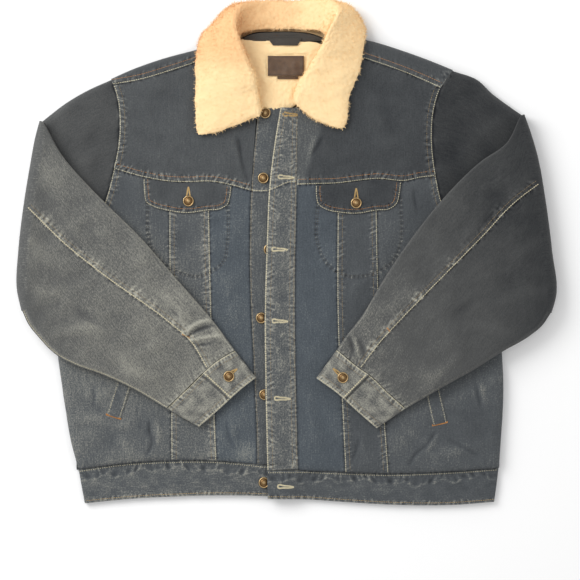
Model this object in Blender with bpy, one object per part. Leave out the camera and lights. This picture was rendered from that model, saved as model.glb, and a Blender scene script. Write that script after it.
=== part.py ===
"""Denim trucker jacket with a curly sherpa lining and collar.

It lies flat on its back with the front up, unbuttoned, the left front over the right one,
and each sleeve folded over the front at the elbow. Right and left are the wearer's, and the
wearer's right is at -X. +Z is up. The origin is the middle of the underside's box.
All named sizes are in millimetres.
"""
import math

import bmesh
import bpy
from mathutils import Vector
from mathutils.bvhtree import BVHTree

MM = 0.001

# Cloth thicknesses and heights above the surface it lies on
BACK_TOP = 9.1           # denim and sherpa of the back, pressed
FRONT_LOW = 9.9          # inside of the fronts
FRONT_TOP = 19.0         # outside of the fronts
BAND_BACK_TOP = 4.6      # the waistband has no sherpa
BAND_LOW = 5.2
BAND_TOP = 9.8
STAND_TOP = 16.0         # button stand, where the buttons sit
STAND_WALL = 4.0
PLACKET_WALL = 3.4
LAP = 4.7                # room for a button between stand and placket
FLAP_WALL = 2.6
WELT_WALL = 1.4
SEAM_DIP = 1.3           # how far a seam draws the padded cloth in
SEAM_GAP = 0.25          # each piece's half of the gap at a seam
BLOUSE = 16.0            # length over which the fronts sink to the waistband
EDGE_FRONT = 14.0        # rounding of the fronts at the side
EDGE_BACK = 9.0

# The neck: the collar's leaf lies under the back yoke and lifts it
RAISE = 9.0
RAISE_Y = (215.0, 272.0)

# Sleeves
ARM_HALF = (9.4, 8.3)    # half thickness at the armhole and at the fold
FORE_LOW = 19.7          # underside of the forearms
FORE_END = 4.2           # half thickness at the cuff
SLIT = 0.75              # half of the gap between a sleeve's two layers
TURN = 9.8               # radius of the fold at the elbow
TURN_END = 0.25          # share of it at the fold's two ends
PRESSED = 1.8            # how far a forearm presses what it lies on
CUFF_WALL = 3.4
CUFF_GAP = 0.5           # between the cuff and the sleeve it closes

# Collar
ROLL = 5.4               # radius of the roll line's turn
COLLAR_WALL = 9.0
COLLAR_WALL_BACK = 7.6

# Buttons
BUTTON_R = 8.5
BUTTON_H = 3.8

DENIM = (0.105, 0.155, 0.235)
DENIM_DARK = (0.070, 0.105, 0.170)
DENIM_SLEEVE = (0.130, 0.175, 0.235)
SHERPA = (0.900, 0.780, 0.560)
TAPE = (0.020, 0.028, 0.050)
LEATHER = (0.090, 0.035, 0.020)
COPPER = (0.480, 0.240, 0.110)


def clamp(value, low=0.0, high=1.0):
    return max(low, min(high, value))


def ease(t):
    t = clamp(t)
    return t * t * (3.0 - 2.0 * t)


def mix(a, b, t):
    return a + (b - a) * t


class Curve:
    """A smooth plan line through a few points, read by length, by height or across."""

    STEPS = 10

    def __init__(self, points):
        knots = [Vector(p) for p in points]
        spans = [(b - a).length for a, b in zip(knots, knots[1:])]
        slopes = []
        for i in range(len(knots)):
            if i == 0:
                slope = (knots[1] - knots[0]) / spans[0]
            elif i == len(knots) - 1:
                slope = (knots[-1] - knots[-2]) / spans[-1]
            else:
                before = (knots[i] - knots[i - 1]) / spans[i - 1]
                after = (knots[i + 1] - knots[i]) / spans[i]
                slope = (before * spans[i] + after * spans[i - 1]) / (spans[i] + spans[i - 1])
            slopes.append(slope)
        self.line = [knots[0].copy()]
        for i, span in enumerate(spans):
            for k in range(1, self.STEPS + 1):
                t = k / self.STEPS
                start = knots[i] * (2 * t ** 3 - 3 * t ** 2 + 1)
                lead = slopes[i] * span * (t ** 3 - 2 * t ** 2 + t)
                end = knots[i + 1] * (3 * t ** 2 - 2 * t ** 3)
                trail = slopes[i + 1] * span * (t ** 3 - t ** 2)
                self.line.append(start + lead + end + trail)
        self.run = [0.0]
        for a, b in zip(self.line, self.line[1:]):
            self.run.append(self.run[-1] + (b - a).length)
        self.length = self.run[-1]

    def at(self, t):
        """The point at a share t of the length."""
        want = clamp(t) * self.length
        for i in range(len(self.run) - 1):
            if want <= self.run[i + 1]:
                part = (want - self.run[i]) / max(self.run[i + 1] - self.run[i], 1e-9)
                return self.line[i].lerp(self.line[i + 1], part)
        return self.line[-1].copy()

    def read(self, value, axis):
        """The other coordinate where the line's own one (0 for x, 1 for y) is value."""
        other = 1 - axis
        rising = self.line[-1][axis] > self.line[0][axis]
        points = self.line if rising else self.line[::-1]
        if value <= points[0][axis]:
            return points[0][other]
        for a, b in zip(points, points[1:]):
            if value <= b[axis]:
                part = (value - a[axis]) / max(b[axis] - a[axis], 1e-9)
                return mix(a[other], b[other], part)
        return points[-1][other]

    def y(self, x):
        return self.read(x, 0)

    def x(self, y):
        return self.read(y, 1)

    def away(self, p):
        """The distance from a point to the line."""
        best = 1e9
        for a, b in zip(self.line[::2], self.line[2::2]):
            step = b - a
            t = clamp((p - a).dot(step) / max(step.length_squared, 1e-9))
            best = min(best, (a + step * t - p).length)
        return best


def inside(outline, p):
    """True where p lies in the closed outline."""
    hit = False
    for a, b in zip(outline, outline[1:] + outline[:1]):
        if (a.y > p.y) != (b.y > p.y):
            cross = a.x + (p.y - a.y) / (b.y - a.y) * (b.x - a.x)
            if cross > p.x:
                hit = not hit
    return hit


# ---------------------------------------------------------------- the pattern, in plan (x, y)
# Lines that run down the body: read as x at a height y
ARMHOLE_R = Curve([
    (-272, 267), (-262, 235), (-259, 200), (-261, 165), (-268, 129), (-276, 95),
    (-289, 58), (-305, 21), (-324, -17), (-350, -60)])
ARMHOLE_L = Curve([
    (258, 281), (240, 255), (229, 220), (226, 175), (230, 130), (239, 84),
    (253, 43), (270, 7), (292, -24), (322, -58)])
SIDE_R = Curve([(-350, -60), (-356, -110), (-355, -164), (-347, -219), (-336, -290), (-324, -337)])
SIDE_L = Curve([(322, -58), (331, -106), (335, -160), (337, -224), (334, -280), (330, -337)])
EDGE_R = Curve([p[:] for p in ARMHOLE_R.line[::6]] + [p[:] for p in SIDE_R.line[6::7]])
EDGE_L = Curve([p[:] for p in ARMHOLE_L.line[::6]] + [p[:] for p in SIDE_L.line[6::7]])
V1_R = Curve([(-182, 190), (-182, 109), (-182, -29), (-180, -150), (-179, -330)])
V2_R = Curve([(-120, 190), (-120, 109), (-117, -60), (-112, -230), (-108, -330)])
C_R = Curve([(-43, 226), (-49, 170), (-55, 94), (-57, -29), (-51, -180), (-46, -298), (-46, -392)])
STAND_EDGE = Curve([(-4, 224), (-9, 94), (-12, -100), (-9, -230), (-5, -392)])
PLACKET_EDGE = Curve([
    (-9, 226), (-17, 180), (-27, 100), (-31, 12), (-34, -98), (-33, -208), (-31, -300), (-29, -392)])
C_L = Curve([(18, 226), (16, 103), (13, -89), (15, -215), (18, -339), (20, -392)])
V1_L = Curve([(79, 190), (79, 105), (80, -137), (85, -224), (91, -346)])
V2_L = Curve([(140, 190), (140, 112), (143, -55), (151, -230), (159, -346)])
BAND_SIDE_R = Curve([(-324, -337), (-319, -363), (-314, -391)])
BAND_SIDE_L = Curve([(330, -337), (328, -364), (323, -390)])

# Lines that run across the body: read as y at a place x
RIDGE_R = Curve([(-276, 267), (-240, 283), (-198, 298), (-139, 314), (-100, 324)])
RIDGE_L = Curve([(82, 334), (123, 329), (181, 312), (225, 296), (262, 281)])
SHOULDER_R = Curve([(-276, 257), (-222, 267), (-182, 279), (-142, 292), (-102, 306)])
SHOULDER_L = Curve([(84, 309), (123, 298), (181, 278), (244, 251)])
NECK_R = Curve([(-102, 306), (-101, 284), (-90, 260), (-71, 238), (-46, 219)])
NECK_L = Curve([(18, 222), (49, 238), (69, 260), (80, 288), (84, 309)])
NECK_BACK = Curve([
    (-100, 315), (-84, 322), (-70, 331), (-55, 338), (-20, 341), (15, 341), (42, 337),
    (60, 330), (72, 324), (82, 324)])
YOKE_R = Curve([
    (-276, 131), (-245, 121), (-218, 114), (-182, 108), (-150, 107), (-120, 108), (-85, 102),
    (-53, 94), (-30, 92)])
YOKE_L = Curve([
    (10, 103), (48, 104), (79, 105), (110, 109), (140, 112), (185, 109), (208, 114), (240, 117)])
YOKE_BACK = Curve([(-276, 168), (-150, 160), (-10, 157), (130, 160), (240, 166)])
WAIST_R = Curve([(-330, -340), (-252, -329), (-179, -325), (-108, -325), (-46, -331), (0, -336)])
WAIST_L = Curve([(-40, -340), (18, -340), (91, -343), (159, -345), (247, -342), (334, -336)])
WAIST_BACK = Curve([(-330, -340), (-179, -328), (-30, -336), (159, -345), (334, -336)])
HEM_R = Curve([(-318, -392), (-249, -385), (-177, -381), (-103, -379), (-44, -380), (0, -382)])
HEM_L = Curve([(-32, -384), (26, -385), (84, -389), (174, -394), (257, -394), (326, -389)])
HEM_BACK = Curve([(-318, -390), (-177, -380), (-30, -380), (84, -387), (174, -391), (326, -387)])

# Sleeves: from the armhole out to the fold, then back over the front to the cuff
FOLD_R = Curve([(-383, 202), (-389, 180), (-398, 132), (-408, 70), (-416, 0), (-418, -60), (-411, -92)])
FOLD_L = Curve([(369, 212), (377, 190), (389, 150), (402, 78), (412, 0), (418, -70), (411, -95)])
OUT_R = Vector((-0.993, 0.117))
OUT_L = Vector((0.986, 0.167))
ARM_UPPER_R = [(-272, 267), (-306, 252), (-341, 232)]
ARM_UPPER_L = [(258, 281), (298, 266), (318, 247), (346, 226)]
ARM_LOWER_R = [(-350, -60), (-380, -68)]
ARM_LOWER_L = [(322, -58), (370, -72)]
FORE_UPPER_R = [
    (-352, 152), (-316, 110), (-276, 70), (-228, 23), (-169, -44), (-114, -107), (-80, -153)]
FORE_UPPER_L = [
    (346, 172), (300, 138), (240, 78), (199, 27), (147, -49), (118, -98), (91, -133), (78, -152)]
FORE_LOWER_R = [
    (-399, -113), (-384, -132), (-356, -160), (-328, -175), (-284, -191), (-240, -211), (-186, -243)]
FORE_LOWER_L = [
    (395, -115), (377, -130), (334, -155), (290, -183), (247, -207), (185, -243)]
CUFF_SEAM_R = Curve([(-80, -153), (-110, -171), (-124, -183), (-156, -214), (-186, -243)])
CUFF_SEAM_L = Curve([(78, -152), (114, -181), (130, -192), (158, -219), (185, -243)])
CUFF_MOUTH_R = Curve([(-47, -195), (-70, -213), (-104, -244), (-136, -272)])
CUFF_MOUTH_L = Curve([(46, -196), (78, -219), (110, -248), (140, -274)])

# Soft ridges that the lying cloth keeps: from, to, height and width
RIDGES_BODY = [
    # x0, y0, x1, y1, height, width
    (-330, -190, -200, -225, 2.4, 11),
    (-335, -262, -215, -285, 2.0, 10),
    (-240, -20, -195, -90, 2.2, 12),
    (-165, -90, -150, -250, 1.8, 12),
    (-150, 0, -148, -60, 1.2, 12),
    (-95, -40, -80, -150, 1.8, 11),
    (-95, -235, -75, -310, 1.6, 10),
    (-235, 165, -140, 140, 1.4, 13),
    (40, -150, 50, -300, 2.0, 11),
    (105, -60, 112, -130, 1.6, 12),
    (110, -270, 125, -330, 1.8, 10),
    (185, -80, 225, -20, 2.2, 12),
    (180, -260, 320, -205, 2.4, 11),
    (190, -318, 325, -285, 2.0, 10),
    (100, 150, 195, 165, 1.4, 13),
]
RIDGES_ARM = [
    (-290, 215, -350, 120, 2.4, 13),
    (-285, 170, -330, 130, 2.0, 11),
    (-300, 235, -372, 205, 1.8, 11),
    (282, 225, 335, 140, 2.4, 13),
    (262, 165, 315, 145, 2.0, 11),
    (300, 245, 360, 210, 1.8, 11),
]
RIDGES_FORE = [
    (-385, 130, -340, 60, 2.6, 14),
    (-398, 20, -330, -30, 2.8, 14),
    (-395, -60, -320, -80, 2.6, 13),
    (-350, -130, -270, -120, 2.4, 12),
    (-300, 60, -240, -10, 2.2, 13),
    (-260, -160, -200, -200, 2.4, 11),
    (-215, -55, -150, -110, 2.2, 12),
    (385, 130, 340, 60, 2.6, 14),
    (400, 20, 335, -30, 2.8, 14),
    (398, -60, 325, -85, 2.6, 13),
    (345, -130, 270, -120, 2.4, 12),
    (300, 60, 245, -10, 2.2, 13),
    (265, -160, 205, -200, 2.4, 11),
    (215, -55, 150, -110, 2.2, 12),
]

FLAP_SIDE_R = [(-222, 112), (-221, 92), (-218, 76)]
FLAP_LOW_R = [(-218, 76), (-204, 68), (-185, 63), (-154, 59), (-123, 63), (-103, 65), (-91, 72)]
FLAP_END_R = [(-85, 100), (-87, 84), (-91, 72)]
FLAP_SIDE_L = [(45, 102), (45, 88), (49, 72)]
FLAP_LOW_L = [(49, 72), (62, 64), (80, 60), (108, 58), (140, 63), (160, 65), (171, 73)]
FLAP_END_L = [(178, 107), (176, 90), (171, 73)]

WELT_R_ENDS = ((-228, -128), (-268, -256))
WELT_L_ENDS = ((208, -134), (238, -267))
WELT_HALF = 11.0

# Buttons: x, y
FRONT_BUTTONS = [(-33, 215), (-36, 114), (-27, 3), (-39, -103), (-34, -222), (-35, -359)]
FLAP_BUTTONS = {"R": (-152, 78), "L": (108, 75)}
CUFF_BUTTONS = {"R": (-89, -193), "L": (87, -195)}

# Collar, from the right front end round the back to the left front end. Each row holds the
# neck seam, the middle of the roll's turn, a point on the leaf and the leaf's outer edge.
COLLAR_ROWS = [
    # neck, roll, leaf, edge
    ((-51, 226, 17.0), (-47, 212, 25.5), (-87, 192, 25.6), (-136, 179, 24.9)),
    ((-60, 236, 17.5), (-50, 242, 31.0), (-94, 217, 31.0), (-141, 193, 25.0)),
    ((-76, 255, 21.0), (-55, 263, 40.0), (-97, 252, 38.5), (-142, 227, 25.4)),
    ((-89, 281, 23.5), (-62, 283, 46.0), (-101, 282, 42.0), (-142, 262, 26.5)),
    ((-93, 298, 25.0), (-70, 304, 50.0), (-106, 304, 43.5), (-142, 290, 27.0)),
    ((-91, 312, 27.0), (-76, 320, 53.0), (-112, 323, 37.5), (-139, 316, 23.0)),
    ((-85, 325, 28.0), (-82, 339, 53.0), (-115, 345, 28.0), (-129, 335, 9.5)),
    ((-74, 336, 27.0), (-80, 362, 45.0), (-101, 368, 17.0), (-107, 322, 4.2)),
    ((-53, 343, 21.0), (-65, 379, 28.0), (-79, 376, 6.5), (-78, 304, 4.2)),
    ((-20, 344, 14.2), (-32, 382, 11.0), (-34, 350, 4.3), (-34, 302, 4.2)),
    ((-2, 344, 14.0), (0, 382, 10.0), (0, 350, 4.3), (0, 301, 4.2)),
    ((18, 344, 14.2), (34, 383, 11.0), (35, 350, 4.3), (34, 302, 4.2)),
    ((42, 343, 21.0), (69, 382, 28.0), (88, 379, 6.5), (84, 308, 4.2)),
    ((60, 336, 27.0), (81, 365, 45.0), (108, 369, 17.0), (110, 334, 4.2)),
    ((69, 325, 28.0), (71, 342, 53.0), (108, 350, 29.0), (122, 343, 10.5)),
    ((74, 309, 26.0), (65, 322, 51.0), (95, 328, 42.0), (120, 320, 28.5)),
    ((73, 290, 24.5), (58, 306, 47.5), (86, 302, 42.0), (116, 290, 28.5)),
    ((64, 267, 22.0), (46, 287, 43.0), (74, 278, 40.5), (107, 260, 30.0)),
    ((46, 246, 18.0), (34, 267, 38.0), (63, 253, 36.5), (96, 232, 26.8)),
    ((31, 237, 16.5), (21, 249, 31.0), (54, 227, 31.0), (95, 201, 25.0)),
    ((22, 229, 16.5), (17, 227, 25.5), (45, 203, 25.6), (86, 188, 24.9)),
]

# The long seam on the back of each sleeve, from the fold to the cuff
BACK_SEAM_R = Curve([(-400, 67), (-337, 6), (-284, -36), (-177, -114), (-150, -138), (-124, -180)])
BACK_SEAM_L = Curve([(390, 103), (359, 80), (300, 19), (219, -63), (164, -120), (146, -140), (116, -180)])


def arm_line(points, fold, out, end):
    """An arm's edge line, ending where the cloth starts to turn over."""
    return Curve(points + [tuple(fold.at(end) - out * (TURN * TURN_END))])


SIDES = {
    "R": {
        "sign": -1, "armhole": ARMHOLE_R, "fold": FOLD_R, "out": OUT_R,
        "arm_upper": arm_line(ARM_UPPER_R, FOLD_R, OUT_R, 0.0),
        "arm_lower": arm_line(ARM_LOWER_R, FOLD_R, OUT_R, 1.0),
        "fore_upper": Curve([tuple(FOLD_R.at(0) - OUT_R * TURN * TURN_END)] + FORE_UPPER_R),
        "fore_lower": Curve([tuple(FOLD_R.at(1) - OUT_R * TURN * TURN_END)] + FORE_LOWER_R),
        "cuff_seam": CUFF_SEAM_R, "cuff_mouth": CUFF_MOUTH_R, "seam": BACK_SEAM_R,
    },
    "L": {
        "sign": 1, "armhole": ARMHOLE_L, "fold": FOLD_L, "out": OUT_L,
        "arm_upper": arm_line(ARM_UPPER_L, FOLD_L, OUT_L, 0.0),
        "arm_lower": arm_line(ARM_LOWER_L, FOLD_L, OUT_L, 1.0),
        "fore_upper": Curve([tuple(FOLD_L.at(0) - OUT_L * TURN * TURN_END)] + FORE_UPPER_L),
        "fore_lower": Curve([tuple(FOLD_L.at(1) - OUT_L * TURN * TURN_END)] + FORE_LOWER_L),
        "cuff_seam": CUFF_SEAM_L, "cuff_mouth": CUFF_MOUTH_L, "seam": BACK_SEAM_L,
    },
}
for part in SIDES.values():
    loop = list(part["fore_upper"].line[::3])
    loop += list(part["cuff_mouth"].line[::5])
    loop += list(part["fore_lower"].line[::-3])
    part["outline"] = loop


# ---------------------------------------------------------------- heights of the lying cloth
def raised(p):
    """How far the collar's leaf underneath lifts the cloth at the neck."""
    along = ease((p.y - RAISE_Y[0]) / (RAISE_Y[1] - RAISE_Y[0]))
    across = 1.0 - ease((-104 - p.x) / 46.0) if p.x < 0 else 1.0 - ease((p.x - 92) / 46.0)
    return RAISE * along * across


def near_forearm(p):
    """1 under a forearm, fading to 0 beside it."""
    part = SIDES["R"] if p.x < 0 else SIDES["L"]
    outline = part["outline"]
    if inside(outline, p):
        return 1.0
    gap = min((p - q).length for q in outline)
    return 1.0 - ease((gap - 9.0) / 24.0)


def in_flap(p):
    across = min(abs(p.x + 153), abs(p.x - 111))
    wide = 1.0 - ease((across - 66) / 20.0)
    tall = 1.0 - ease((abs(p.y - 82) - 30) / 18.0)
    return wide * tall


def near_welt(p):
    """1 on a hand pocket's welt, fading to 0 beside it."""
    best = 1e9
    for start, end in (WELT_R_ENDS, WELT_L_ENDS):
        a = Vector(start)
        step = Vector(end) - a
        t = clamp((p - a).dot(step) / step.length_squared)
        best = min(best, (a + step * t - p).length)
    return 1.0 - ease((best - WELT_HALF - 8.0) / 20.0)


def ridges(table, p):
    total = 0.0
    for x0, y0, x1, y1, height, width in table:
        a = Vector((x0, y0))
        step = Vector((x1, y1)) - a
        t = clamp((p - a).dot(step) / step.length_squared)
        gap = (a + step * t - p).length
        total += height * math.exp(-(gap / width) ** 2)
    return total


def above_waist(p):
    waist = WAIST_R if p.x < -30 else WAIST_L
    return p.y - waist.y(p.x)


def front_top(p):
    """The outside of the fronts."""
    side = SIDE_R if p.x < 0 else SIDE_L
    z = FRONT_TOP + raised(p)
    free = (1.0 - near_forearm(p)) * (1.0 - in_flap(p)) * (1.0 - ease((p.y - 160) / 20.0))
    free *= 1.0 - near_welt(p)
    centre = 1.0 - ease((p.x + 95) / 40.0) if p.x < 0 else ease((p.x - 12) / 30.0)
    z += ridges(RIDGES_BODY, p) * free * centre
    z -= PRESSED * near_forearm(p)
    if -100 < p.x < 0:
        z -= 2.0 * ease((p.x + 95) / 45.0)
    sink = 1.0 - math.sqrt(1.0 - (1.0 - clamp(above_waist(p) / BLOUSE)) ** 2)
    z -= 7.6 * sink
    if p.y < -60:
        edge = 1.0 - math.sqrt(1.0 - (1.0 - clamp(side.away(p) / EDGE_FRONT)) ** 2)
        z -= (FRONT_TOP - FRONT_LOW - 1.4) * edge
    return max(z, FRONT_LOW + raised(p) + 1.5 - 4.6 * sink)


def front_low(p):
    sink = 1.0 - ease(above_waist(p) / (BLOUSE * 0.5))
    lift = raised(p)
    return FRONT_LOW + lift + 1.4 * ease(lift / 1.6) - (FRONT_LOW - BAND_LOW) * sink


def back_top(p):
    sink = 1.0 - ease((p.y - WAIST_BACK.y(p.x) - 9.0) / BLOUSE)
    return BACK_TOP + raised(p) - (BACK_TOP - BAND_BACK_TOP) * sink


def back_low(p):
    side = SIDE_R if p.x < 0 else SIDE_L
    low = raised(p)
    if p.y < -60:
        edge = 1.0 - math.sqrt(1.0 - (1.0 - clamp(side.away(p) / EDGE_BACK)) ** 2)
        low += (back_top(p) - 1.2) * edge
    return low


# ---------------------------------------------------------------- making solids
def material(name, colour, roughness=0.9, metallic=0.0):
    made = bpy.data.materials.new(name)
    made.use_nodes = True
    shader = made.node_tree.nodes["Principled BSDF"]
    shader.inputs["Base Color"].default_value = (*colour, 1.0)
    shader.inputs["Roughness"].default_value = roughness
    shader.inputs["Metallic"].default_value = metallic
    made.diffuse_color = (*colour, 1.0)
    return made


MADE = {}


def finish(name, bm, colour, roughness=0.9, metallic=0.0, smooth=60.0):
    """One closed mesh as a named object, with its underside on the floor made one face."""
    bmesh.ops.recalc_face_normals(bm, faces=bm.faces)
    flat = [f for f in bm.faces if max(abs(v.co.z) for v in f.verts) < 1e-7]
    if len(flat) > 1:
        bmesh.ops.dissolve_faces(bm, faces=flat, use_verts=False)
    mesh = bpy.data.meshes.new(name)
    bm.to_mesh(mesh)
    bm.free()
    mesh.shade_smooth()
    mesh.set_sharp_from_angle(angle=math.radians(smooth))
    mesh.materials.append(material(name, colour, roughness, metallic))
    made = bpy.data.objects.new(name, mesh)
    bpy.context.scene.collection.objects.link(made)
    MADE[name] = made
    return made


def wall(name, outer, inner, colour, keep=None, roughness=0.9):
    """A closed wall between two grids of points, over the cells that are kept."""
    bm = bmesh.new()
    rows = len(outer)
    cols = len(outer[0])
    cells = keep or {(j, i) for j in range(rows - 1) for i in range(cols - 1)}
    made = {}

    def vert(layer, j, i):
        if (layer, j, i) not in made:
            p = (outer if layer == 0 else inner)[j][i]
            made[(layer, j, i)] = bm.verts.new(Vector(p) * MM)
        return made[(layer, j, i)]

    rim = {}
    for j, i in sorted(cells):
        ring = [(j, i), (j, i + 1), (j + 1, i + 1), (j + 1, i)]
        bm.faces.new([vert(0, *c) for c in ring])
        bm.faces.new([vert(1, *c) for c in reversed(ring)])
        for a, b in zip(ring, ring[1:] + ring[:1]):
            if (b, a) in rim:
                del rim[(b, a)]
            else:
                rim[(a, b)] = True
    for a, b in rim:
        bm.faces.new([vert(0, *b), vert(0, *a), vert(1, *a), vert(1, *b)])
    return finish(name, bm, colour, roughness)


def spaced(curve, start, end, shares, axis):
    """Points of a line between two values of one coordinate."""
    points = []
    for share in shares:
        value = mix(start, end, share)
        other = curve.read(value, axis)
        points.append(Vector((value, other)) if axis == 0 else Vector((other, value)))
    return points


def crossing(down, across, y):
    """Where a line down the body meets a line across it."""
    for _ in range(12):
        x = down.x(y)
        y = across.y(x)
    return Vector((x, y))


def even(count):
    return [i / count for i in range(count + 1)]


def coons(bottom, top, left, right):
    """A grid of plan points between four sampled edges that meet at their ends."""
    u = [0.0]
    for k in range(len(bottom) - 1):
        step = (bottom[k + 1] - bottom[k]).length + (top[k + 1] - top[k]).length
        u.append(u[-1] + step)
    v = [0.0]
    for k in range(len(left) - 1):
        step = (left[k + 1] - left[k]).length + (right[k + 1] - right[k]).length
        v.append(v[-1] + step)
    u = [value / u[-1] for value in u]
    v = [value / v[-1] for value in v]
    grid = []
    for j, b in enumerate(v):
        row = []
        for i, a in enumerate(u):
            ruled = bottom[i] * (1 - b) + top[i] * b + left[j] * (1 - a) + right[j] * a
            low = bottom[0] * (1 - a) + bottom[-1] * a
            high = top[0] * (1 - a) + top[-1] * a
            row.append(ruled - low * (1 - b) - high * b)
        grid.append(row)
    return grid


def inset(grid, left=SEAM_GAP, right=SEAM_GAP, bottom=SEAM_GAP, top=SEAM_GAP):
    """Draw a grid's edges in from its neighbours."""
    rows = [[p.copy() for p in row] for row in grid]
    last = len(grid[0]) - 1
    for row, source in zip(rows, grid):
        row[0] += (source[1] - source[0]).normalized() * left
        row[last] += (source[last - 1] - source[last]).normalized() * right
    for i in range(last + 1):
        rows[0][i] += (grid[1][i] - grid[0][i]).normalized() * bottom
        rows[-1][i] += (grid[-2][i] - grid[-1][i]).normalized() * top
    return rows


def panel(name, grid, high, low, colour, dips="", roughness=0.9):
    """A wall over a plan grid, with heights from two functions, drawn in at seams."""
    outer = []
    inner = []
    last_j = len(grid) - 1
    last_i = len(grid[0]) - 1
    for j, row in enumerate(grid):
        up = []
        down = []
        for i, p in enumerate(row):
            dip = 0.0
            edges = (("l", i == 0), ("r", i == last_i), ("b", j == 0), ("t", j == last_j))
            for side, on in edges:
                if on and side in dips:
                    dip = SEAM_DIP
            up.append((p.x, p.y, high(p) - dip))
            down.append((p.x, p.y, low(p)))
        outer.append(up)
        inner.append(down)
    return wall(name, outer, inner, colour, roughness=roughness)


def four_lines(left, right, bottom, top, across, down):
    """The grid between two lines down the body and two across it."""
    corners = {}
    for a, line in (("l", left), ("r", right)):
        for b, cross, y in (("b", bottom, -330.0), ("t", top, 105.0)):
            corners[a + b] = crossing(line, cross, y)
    low = spaced(bottom, corners["lb"].x, corners["rb"].x, across, 0)
    high = spaced(top, corners["lt"].x, corners["rt"].x, across, 0)
    first = spaced(left, corners["lb"].y, corners["lt"].y, down, 1)
    second = spaced(right, corners["rb"].y, corners["rt"].y, down, 1)
    for line, a, b in ((low, "lb", "rb"), (high, "lt", "rt"), (first, "lb", "lt"), (second, "rb", "rt")):
        line[0] = corners[a].copy()
        line[-1] = corners[b].copy()
    return coons(low, high, first, second)


# ---------------------------------------------------------------- the body
DOWN = [0.0, 0.012, 0.034, 0.064] + [0.064 + 0.936 * (k + 1) / 11 for k in range(11)]
SIDE_ACROSS = [0.0, 0.012, 0.045, 0.12, 0.28, 0.46, 0.64, 0.82, 1.0]
SIDE_ACROSS_L = [1.0 - share for share in reversed(SIDE_ACROSS)]


def make_fronts():
    lines = {
        "R": (EDGE_R, V1_R, V2_R, C_R, WAIST_R, YOKE_R),
        "L": (C_L, V1_L, V2_L, EDGE_L, WAIST_L, YOKE_L),
    }
    for side, (a, b, c, d, waist, yoke) in lines.items():
        spans = [(a, b), (b, c), (c, d)]
        names = ["side", "middle", "center"]
        shares = [SIDE_ACROSS, even(3), even(4)]
        if side == "L":
            names = names[::-1]
            shares = [even(4), even(3), SIDE_ACROSS_L]
        for (left, right), kind, across in zip(spans, names, shares):
            grid = four_lines(left, right, waist, yoke, across, DOWN)
            gaps = {"left": SEAM_GAP, "right": SEAM_GAP}
            if left is EDGE_R:
                gaps["left"] = 1.1
            if right is EDGE_L:
                gaps["right"] = 1.1
            grid = inset(grid, **gaps)
            dips = {"side": "t", "middle": "lrt", "center": "lrt"}[kind]
            if kind == "side":
                dips += "r" if side == "R" else "l"
            panel(f"front_{kind}_{side}", grid, front_top, front_low, DENIM, dips)


def make_yokes():
    up = even(5)
    for side in ("R", "L"):
        if side == "R":
            outer, first, second, centre, yoke = EDGE_R, V1_R, V2_R, C_R, YOKE_R
            seam, neck = SHOULDER_R, NECK_R
            spans = ((outer, first, SIDE_ACROSS), (first, second, even(3)), (second, centre, even(4)))
        else:
            outer, first, second, centre, yoke = EDGE_L, V1_L, V2_L, C_L, YOKE_L
            seam, neck = SHOULDER_L, NECK_L
            spans = ((centre, first, even(4)), (first, second, even(3)), (second, outer, SIDE_ACROSS_L))
        low = []
        for left, right, across in spans:
            start = crossing(left, yoke, 105.0)
            end = crossing(right, yoke, 105.0)
            points = spaced(yoke, start.x, end.x, across, 0)
            points[0] = start
            points[-1] = end
            low += points if not low else points[1:]
        wide = len(SIDE_ACROSS) - 1 + 3
        if side == "R":
            start = crossing(EDGE_R, seam, 258.0)
            flat = spaced(seam, start.x, neck.at(0).x, even(wide), 0)
            flat[-1] = neck.at(0)
            round_neck = [neck.at(t) for t in even(4)]
            high = flat + round_neck[1:]
            left_edge = spaced(EDGE_R, low[0].y, high[0].y, up, 1)
            right_edge = spaced(C_R, low[-1].y, high[-1].y, up, 1)
        else:
            round_neck = [neck.at(t) for t in even(4)]
            end = crossing(EDGE_L, seam, 252.0)
            flat = spaced(seam, neck.at(1).x, end.x, even(wide), 0)
            flat[0] = neck.at(1)
            high = round_neck + flat[1:]
            left_edge = spaced(C_L, low[0].y, high[0].y, up, 1)
            right_edge = spaced(EDGE_L, low[-1].y, high[-1].y, up, 1)
        for line, a, b in ((left_edge, low[0], high[0]), (right_edge, low[-1], high[-1])):
            line[0] = a.copy()
            line[-1] = b.copy()
        grid = coons(low, high, left_edge, right_edge)
        gaps = {"left": 0.8} if side == "R" else {"right": 0.8}
        grid = inset(grid, **gaps)
        panel(f"front_yoke_{side}", grid, front_top, front_low, DENIM_DARK, "lrbt")


def stand_top(p):
    sink = 1.0 - math.sqrt(1.0 - (1.0 - clamp((p.y + 331) / BLOUSE)) ** 2)
    return STAND_TOP - 5.0 * sink


def stand_low(p):
    return stand_top(p) - STAND_WALL


def placket_share(p):
    left = PLACKET_EDGE.x(p.y)
    right = C_L.x(p.y)
    return clamp((p.x - left) / (right - left))


def placket_low(p):
    share = placket_share(p)
    over = stand_top(p) + LAP
    flush = front_top(Vector((C_L.x(p.y), p.y))) - PLACKET_WALL
    return mix(over, flush, ease((share - 0.25) / 0.75))


def placket_top(p):
    return placket_low(p) + PLACKET_WALL


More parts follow.
